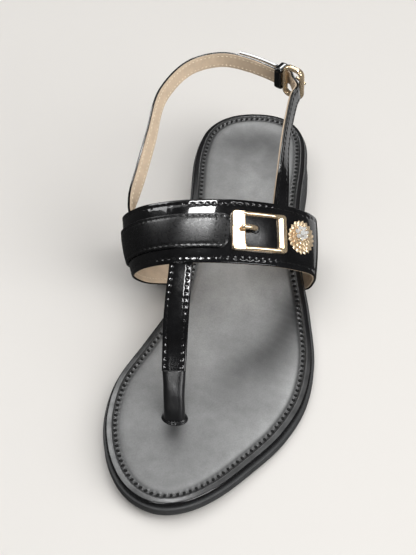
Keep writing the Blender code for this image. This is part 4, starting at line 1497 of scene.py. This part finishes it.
class SANDAL_OT_overlay(bpy.types.Operator):
    """Matte strap sewn over the band"""

    bl_idname = "sandal.overlay"
    bl_label = "Overlay Strap"

    def execute(self, context):
        sizes = context.scene.sandal_sizes
        pitch, depth = sizes.stitch_pitch / MM * OVERLAY_PITCH, sizes.seam_depth / MM
        start, end = OVERLAY_ACROSS
        strip = BandStrip(SHAPES.band, OVERLAY_ALONG)

        def half_of(run):
            left = np.clip((end - run) / OVERLAY_CORNER, 0.0, 1.0)
            return strip.width / 2 - OVERLAY_CORNER * (1.0 - np.sqrt(1.0 - (1.0 - left) ** 2))

        turns = np.linspace(0.0, math.pi / 2, OVERLAY_TIP_STEPS)[1:]
        tip = end - OVERLAY_CORNER * (1.0 - np.sin(turns))
        runs = np.concatenate([spread(start, end - OVERLAY_CORNER, OVERLAY_COVER.step), tip])
        mesh = strap_shell(strip, runs, OVERLAY_COVER, OVERLAY_SEAM, pitch, depth, half_of)
        add_piece("overlay_strap_cover", mesh, "matte_leather", "overlay_strap")

        threads = bmesh.new()
        lift = OVERLAY_COVER.high - depth * OVERLAY_SUNK
        sew_edges(threads, strip, start + OVERLAY_SEAM_START, end - OVERLAY_SEAM, OVERLAY_SEAM, lift, pitch,
                  sizes.stitch_share)
        lift, half = lift + OVERLAY_END_RISE, strip.width / 2 - OVERLAY_SEAM
        for inset in (OVERLAY_SEAM, OVERLAY_END_SEAM):
            self.cross_row(threads, strip, end - inset, half, lift, pitch, sizes.stitch_share)
        add_piece("overlay_strap_stitches", threads, "thread")
        return {"FINISHED"}

    @staticmethod
    def cross_row(mesh, surface, run, half, lift, pitch, share):
        """Row of stitches across the strap."""
        count = max(2, int(round(2.0 * half / pitch)))
        sides = -half + (np.arange(count) + 0.5) * 2.0 * half / count
        reach = half / count * share
        heads, tails = surface.place(run, sides - reach, lift), surface.place(run, sides + reach, lift)
        ups = surface.place(run, sides, lift + 1.0) - surface.place(run, sides, lift)
        add_stitches(mesh, heads, tails, ups)


def level_place(run, side, lift):
    """Place on the band for a piece that is bent along the band but level across it."""
    band = SHAPES.band
    reach = np.full(np.shape(run), LEVEL_REACH)
    across = unit(band.place(run, reach, 0.0) - band.place(run, -reach, 0.0))
    return band.place(run, np.zeros(np.shape(run)), lift) + across * np.reshape(side, (-1, 1))


class SANDAL_OT_ornament_buckle(bpy.types.Operator):
    """Ornamental buckle: frame, leather tab, eyelet and prong"""

    bl_idname = "sandal.ornament_buckle"
    bl_label = "Ornamental Buckle"

    def execute(self, context):
        band = SHAPES.band
        bars = (BUCKLE_WIDE_BAR + BUCKLE_NARROW_BAR) / 2
        opening = (BUCKLE_HALF[0] - bars, BUCKLE_HALF[1] - BUCKLE_RAIL)
        shift = (BUCKLE_WIDE_BAR - BUCKLE_NARROW_BAR) / 2
        add_piece("ornament_buckle_frame", self.frame(opening, shift), "gold_metal", "ornament_buckle",
                  angle=BUCKLE_ANGLE)

        half = opening[1] + TAB_UNDER_RAIL
        reach = opening[0] + TAB_UNDER_BAR
        runs = spread(BUCKLE_CENTRE + shift - reach, BUCKLE_CENTRE + shift + reach, TAB_COVER.step)
        mesh = strap_shell(band, runs, TAB_COVER, half_of=lambda run: np.full(np.shape(run), half))
        add_piece("buckle_tab_leather", mesh, "tab_leather", "buckle_tab")

        bar_edge = shift - opening[0]
        hole = BUCKLE_CENTRE + (bar_edge + PRONG_LENGTH - PRONG_OVER_BAR)
        turns = np.linspace(0.0, 2.0 * math.pi, EYELET_STEPS, endpoint=False)
        ring = band.place(hole + EYELET_RADIUS * np.cos(turns), PRONG_ALONG + EYELET_RADIUS * np.sin(turns),
                          TAB_COVER.high + EYELET_RISE)
        add_piece("buckle_eyelet", wire_loop(ring, EYELET_WIRE, EYELET_SIDES), "matte_leather")

        over = BUCKLE_THICK + PRONG_CLEAR + PRONG_RADIUS
        rest = TAB_THICK + PRONG_SEAT + PRONG_RADIUS * PRONG_PRESSED
        knots = (
            # run from the bar's edge, lift off the band
            (-PRONG_OVER_BAR, over - PRONG_CLEAR),
            (-PRONG_OVER_BAR / 2, over),
            (0.0, over),
            (PRONG_LENGTH / 3, over - PRONG_BENT),
            (PRONG_LENGTH / 2, (over + rest) / 2),
            (PRONG_LENGTH - PRONG_OVER_BAR + PRONG_TIP, rest),
        )
        start = BUCKLE_CENTRE + bar_edge
        path = [band.point(start + run, PRONG_ALONG, ON_BAND + lift) for run, lift in knots]
        add_piece("ornament_prong_pin", rod(*round_ended(path, PRONG_RADIUS)), "gold_metal", "ornament_prong")
        return {"FINISHED"}

    @staticmethod
    def frame(opening, shift):
        """Frame with a ridge along its wide bar and round rails."""
        outer = rounded_rectangle(*BUCKLE_HALF, BUCKLE_CORNER)
        inner = rounded_rectangle(*opening, BUCKLE_CORNER / 2) + (shift, 0.0)
        section = np.array(BUCKLE_SECTION)

        def place(column, row):
            k = column % len(outer)
            share, height, ridge = section[row].T
            flat = inner[k] + (outer[k] - inner[k]) * share[:, None]
            run = np.abs(flat[:, 0] - shift)
            fold = BUCKLE_RIDGE * ridge * smooth_step(opening[0], BUCKLE_HALF[0], outer[k][:, 0])
            rail = 1.0 - smooth_step(opening[0] - RAIL_END[0], opening[0] + RAIL_END[1], run)
            round_off = RAIL_ROUND * rail * (2.0 * share - 1.0) ** 2 * (height > RAIL_ROUND_FROM)
            lift = ON_BAND - BUCKLE_SINK + height * BUCKLE_THICK + fold - round_off
            return level_place(BUCKLE_CENTRE + flat[:, 0] - BUCKLE_LEAN * flat[:, 1], flat[:, 1], lift)

        return rolled(len(outer), len(section) - 1, place)


class SANDAL_OT_flower(bpy.types.Operator):
    """Metal flower with rings of petals and a cluster of stones"""

    bl_idname = "sandal.flower"
    bl_label = "Flower"

    def execute(self, context):
        sizes = context.scene.sandal_sizes
        petals = bmesh.new()
        counts = (sizes.outer_petals, sizes.inner_petals, sizes.inner_petals - CORE_FEWER)
        for count, (inner, outer, low, high, lag) in zip(counts, PETAL_RINGS):
            for k in range(count):
                turn = 2.0 * math.pi * (k + lag) / count
                self.petal(petals, turn, math.pi / count, inner, outer, low, high)
        self.cone(petals, DISC_SIDES, DISC_TAPER, (0.0, 0.0), DISC_RADIUS, 0.0, DISC_HEIGHT)
        bmesh.ops.recalc_face_normals(petals, faces=petals.faces)
        add_piece("flower_petal_rings", petals, "petal_metal", "flower_petals")

        stones, claws = bmesh.new(), bmesh.new()
        turns = np.linspace(STONE_TURN, STONE_TURN + 2.0 * math.pi, RING_STONES + 1)[:-1]
        seats = [(0.0, 0.0, *MIDDLE_STONE)]
        seats += [(STONE_RING * math.cos(turn), STONE_RING * math.sin(turn), *RING_STONE) for turn in turns]
        for a, b, radius, lift in seats:
            centre = (STONE_SHIFT[0] + a, STONE_SHIFT[1] + b)
            self.cone(stones, STONE_SIDES, STONE_TABLE, centre, radius, lift, STONE_RISE * radius)
        for turn in turns + math.pi / RING_STONES:
            a, b = STONE_SHIFT[0] + CLAW_RING * math.cos(turn), STONE_SHIFT[1] + CLAW_RING * math.sin(turn)
            spot = Matrix.Translation(Vector(self.on_band(a, b, CLAW_LIFT) * MM))
            bmesh.ops.create_icosphere(claws, subdivisions=2, radius=CLAW_RADIUS * MM, matrix=spot)
        add_piece("flower_stone_cluster", stones, "clear_stone", "flower_stones", angle=STONE_ANGLE)
        add_piece("flower_claws", claws, "gold_metal")
        return {"FINISHED"}

    @staticmethod
    def on_band(a, b, lift):
        return SHAPES.band.point(FLOWER_CENTRE + a, FLOWER_ALONG + b, BAND_THICK / 2 + lift)

    @staticmethod
    def petal(mesh, turn, spread_half, inner, outer, low, high):
        """Rounded petal, built flat and bent to its place."""
        part, column, row = grid_mesh(PETAL_STEPS, PETAL_STEPS)
        run = column / PETAL_STEPS
        side = 2.0 * row / PETAL_STEPS - 1.0
        reach = inner + (outer - inner) * run
        full = np.sqrt(np.clip(1.0 - ((run - PETAL_WIDEST) / PETAL_TAPER) ** 2, 0.0, 1.0))
        swing = turn + side * full * spread_half * PETAL_FULL * outer / reach
        droop = PETAL_DROOP * np.clip(run - PETAL_DROOP_START, 0.0, 1.0) ** 2
        lift = low + (high - low) * run - PETAL_ARCH * side ** 2 * full - droop
        across, along = FLOWER_CENTRE + reach * np.cos(swing), FLOWER_ALONG + reach * np.sin(swing)
        move_to(part, SHAPES.band.place(across, along, BAND_THICK / 2 + lift))
        bmesh.ops.recalc_face_normals(part, faces=part.faces)
        bmesh.ops.solidify(part, geom=part.faces[:], thickness=PETAL_THICK * MM)
        data = bpy.data.meshes.new("petal")
        part.to_mesh(data)
        part.free()
        mesh.from_mesh(data)
        bpy.data.meshes.remove(data)

    def cone(self, mesh, sides, taper, centre, radius, low, height):
        """Tapered disc or cut stone, standing on the band."""
        made = bmesh.ops.create_cone(mesh, cap_ends=True, segments=sides, radius1=1.0, radius2=taper,
                                     depth=1.0)
        for vertex in made["verts"]:
            a, b = centre[0] + vertex.co.x * radius, centre[1] + vertex.co.y * radius
            vertex.co = self.on_band(a, b, low + height * (vertex.co.z + 0.5)) * MM


class SANDAL_OT_toe_post(bpy.types.Operator):
    """Sleeve round the toe post and the collar at its foot"""

    bl_idname = "sandal.toe_post"
    bl_label = "Toe Post"

    def execute(self, context):
        values, tangents = frame_rows(POST_ROWS, POST_SAMPLES)
        foot = values[:, 2] - footbed_top(along_of(values[:, 1]))
        add_piece("toe_post_cover", self.sleeve(values, tangents, foot), "sleeve_leather", "toe_post_sleeve",
                  angle=ROUND_ANGLE)
        base = int(np.argmax(foot < SLEEVE_FOOT))
        add_piece("toe_post_skirt", self.collar(values[base, :3], tangents[base]), "matte_leather",
                  "toe_post_collar", angle=ROUND_ANGLE)
        return {"FINISHED"}

    @staticmethod
    def sleeve(values, tangents, foot):
        """Flattened tube along the post, with a slight waist and soft folds."""
        first = int(np.argmax(chord_lengths(values[:, :3]) > SLEEVE_START - SLEEVE_LAP))
        last = int(np.argmax(foot < SLEEVE_FOOT - SLEEVE_SINK))
        picks = np.linspace(first, last, SLEEVE_RINGS).astype(int)
        axes = [tongue_axes(tangent) for tangent in tangents]
        wide, out = (np.array([pair[c] for pair in axes]) for c in range(2))

        def place(column, row):
            k = picks[column]
            share = column / (SLEEVE_RINGS - 1)
            turn = 2.0 * math.pi * (row % SLEEVE_SIDES) / SLEEVE_SIDES
            width, thick = (top + (base - top) * share for top, base in zip(SLEEVE_TOP, SLEEVE_BASE))
            waist = 1.0 - SLEEVE_WAIST * np.sin(math.pi * share)
            wave = np.sin(FOLD_ALONG * share + FOLD_AROUND * turn) * np.sin(math.pi * share)
            fold = 1.0 + FOLD_DEPTH * wave
            ways = (np.cos(turn), np.sin(turn))
            square, flat = (np.abs(way) ** SLEEVE_SQUARE * np.sign(way) for way in ways)
            a, b = width / 2 * waist * fold * square, thick / 2 * fold * flat
            closing = np.where((column == 0) | (column == SLEEVE_RINGS - 1), SLEEVE_CLOSED, 1.0)
            return values[k, :3] + wide[k] * (a * closing)[:, None] + out[k] * (b * closing)[:, None]

        return rolled(SLEEVE_RINGS - 1, SLEEVE_SIDES, place)

    @staticmethod
    def collar(centre, tangent):
        """Ring that spreads from the sleeve's foot over the footbed."""
        floor = footbed_top(along_of(centre[1])) + PAD_RISE
        lean = tangent / tangent[2]
        section = np.array(COLLAR_SECTION)

        def place(column, row):
            turn = 2.0 * math.pi * (column % COLLAR_SIDES) / COLLAR_SIDES
            out, rise = section[row].T
            reach = (SLEEVE_BASE[0] / 2 + out, SLEEVE_BASE[1] / 2 + out + COLLAR_SLANT)
            shift = lean * (rise + floor - centre[2])[:, None]
            flat = np.column_stack([reach[0] * np.cos(turn), reach[1] * np.sin(turn), np.zeros(len(turn))])
            return centre + shift + flat

        return rolled(COLLAR_SIDES, len(section) - 1, place)


class SANDAL_OT_ankle_buckle(bpy.types.Operator):
    """Ring, prong and keeper that close the ankle strap"""

    bl_idname = "sandal.ankle_buckle"
    bl_label = "Ankle Buckle"

    def execute(self, context):
        end, ahead, wide, out = buckle_axes()
        centre = end + ahead * (RING_BAR + RING_HALF[0]) + wide * RING_RISE
        flat = rounded_rectangle(*RING_HALF, RING_CORNER)
        path = centre + flat[:, :1] * ahead + flat[:, 1:] * wide
        ring = wire_loop(path, RING_WIRE * RING_FULL, RING_SIDES, RING_DEEP)
        add_piece("ankle_buckle_ring", ring, "gold_metal", "ankle_buckle")

        rest = RING_WIRE + SEAT_GAP + RING_PRONG_RADIUS
        knots = (
            # run from the ring's middle, way out
            (-RING_PRONG_BACK, STRAP_THICK + rest),
            (RING_HALF[0] / 2, STRAP_THICK + rest / 2),
            (RING_HALF[0] + RING_PRONG_TIP, rest),
        )
        path = [centre + ahead * run + wide * TAIL_RISE / 2 + out * lift for run, lift in knots]
        add_piece("ankle_prong_pin", rod(*round_ended(path, RING_PRONG_RADIUS)), "gold_metal", "ankle_prong")
        add_piece("strap_keeper_loop", self.keeper(), "patent_leather", "strap_keeper")
        return {"FINISHED"}

    @staticmethod
    def keeper():
        """Loop round the ankle strap and the tail that lies on it."""
        values, tangents = frame_rows(ANKLE_ROWS, PATH_SAMPLES)
        walked = chord_lengths(values[:, :3])
        k = int(np.argmin(np.abs(walked - (walked[-1] - KEEPER_SETBACK))))
        wide, out = leaning_axes(tangents[k], values[k][3])
        middle = values[k][:3] + out * (STRAP_THICK + SEAT_GAP + KEEPER_SLACK) / 2 + wide * TAIL_RISE / 2
        hole = ((STRAP_WIDTH + TAIL_RISE) / 2 + 2.0 * SEAT_GAP, STRAP_THICK + SEAT_GAP + KEEPER_SLACK)
        inner = rounded_rectangle(*hole, KEEPER_CORNER)
        outer = rounded_rectangle(*(half + KEEPER_THICK for half in hole), KEEPER_CORNER + KEEPER_THICK)
        section = np.array(KEEPER_SECTION)

        def place(column, row):
            j = column % len(inner)
            share, run = section[row].T
            a, b = (inner[j] + (outer[j] - inner[j]) * share[:, None]).T
            return (middle + wide * a[:, None] + out * b[:, None]
                    + tangents[k] * (run * KEEPER_WIDTH / 2)[:, None])

        return rolled(len(inner), len(section) - 1, place)


class SANDAL_OT_stage(bpy.types.Operator):
    """Pale floor, soft lights and the camera"""

    bl_idname = "sandal.stage"
    bl_label = "Stage"

    def execute(self, context):
        stage = context.scene.sandal_stage
        self.add_floor(context)
        world = bpy.data.worlds.new("studio")
        world.use_nodes = True
        back = world.node_tree.nodes["Background"]
        back.inputs["Color"].default_value = (*SKY_COLOUR, 1.0)
        back.inputs["Strength"].default_value = stage.sky
        context.scene.world = world

        for name, place, width, height, setting, share, in_gloss in LIGHTS:
            light = bpy.data.lights.new(name, "AREA")
            light.shape = "RECTANGLE"
            light.size, light.size_y, light.energy = width, height, getattr(stage, setting) * share
            item = bpy.data.objects.new(name, light)
            item.location = place
            item.rotation_euler = (Vector(LIGHT_TARGET) - Vector(place)).to_track_quat("-Z", "Y").to_euler()
            item.visible_glossy, item.visible_diffuse = in_gloss, not in_gloss
            context.scene.collection.objects.link(item)

        lens = bpy.data.cameras.new("camera")
        lens.lens = stage.lens
        lens.sensor_width = SENSOR_WIDTH
        lens.clip_start, lens.clip_end = CLIP_RANGE
        camera = bpy.data.objects.new("camera", lens)
        view = Vector(CAMERA_VIEW).normalized()
        up = Vector(CAMERA_UP)
        up = (up - view * up.dot(view)).normalized()
        turn = Matrix((view.cross(up), up, -view)).transposed()
        camera.matrix_world = Matrix.Translation(Vector(CAMERA_PLACE) * MM) @ turn.to_4x4()
        context.scene.collection.objects.link(camera)
        context.scene.camera = camera
        context.scene.view_settings.view_transform = "Standard"
        return {"FINISHED"}

    @staticmethod
    def add_floor(context):
        """Wide floor, just under the tread, that the glossy leather does not mirror."""
        mesh = bmesh.new()
        bmesh.ops.create_grid(mesh, x_segments=2, y_segments=2, size=FLOOR_HALF)
        bmesh.ops.translate(mesh, verts=mesh.verts, vec=(0.0, 0.0, -FLOOR_DROP))
        data = bpy.data.meshes.new("floor")
        mesh.to_mesh(data)
        mesh.free()
        data.materials.append(Finishes.get("floor"))
        floor = bpy.data.objects.new("floor", data)
        context.scene.collection.objects.link(floor)
        floor.visible_glossy = False


PIECES = (
    SANDAL_OT_outsole,
    SANDAL_OT_footbed,
    SANDAL_OT_band,
    SANDAL_OT_t_strap,
    SANDAL_OT_ankle_straps,
    SANDAL_OT_overlay,
    SANDAL_OT_ornament_buckle,
    SANDAL_OT_flower,
    SANDAL_OT_toe_post,
    SANDAL_OT_ankle_buckle,
    SANDAL_OT_stage,
)


class SANDAL_PT_panel(bpy.types.Panel):
    """Pieces of the sandal and the sizes and colours they are made with"""

    bl_idname = "SANDAL_PT_panel"
    bl_label = "Toe Post Sandal"
    bl_space_type = "VIEW_3D"
    bl_region_type = "UI"
    bl_category = "Sandal"

    def draw(self, context):
        layout = self.layout
        for piece in PIECES:
            layout.operator(piece.bl_idname)
        for group in (context.scene.sandal_sizes, context.scene.sandal_colours, context.scene.sandal_stage):
            box = layout.box()
            for key in group.__annotations__:
                box.prop(group, key)


SETTINGS = (SandalSizes, SandalColours, SandalStage)


def register():
    for item in (*SETTINGS, *PIECES, SANDAL_PT_panel):
        bpy.utils.register_class(item)
    bpy.types.Scene.sandal_sizes = PointerProperty(type=SandalSizes)
    bpy.types.Scene.sandal_colours = PointerProperty(type=SandalColours)
    bpy.types.Scene.sandal_stage = PointerProperty(type=SandalStage)


def unregister():
    for name in ("sandal_sizes", "sandal_colours", "sandal_stage"):
        delattr(bpy.types.Scene, name)
    for item in reversed((*SETTINGS, *PIECES, SANDAL_PT_panel)):
        bpy.utils.unregister_class(item)


def main():
    register()
    for piece in PIECES:
        group, name = piece.bl_idname.split(".")
        getattr(getattr(bpy.ops, group), name)()


if __name__ == "__main__":
    main()
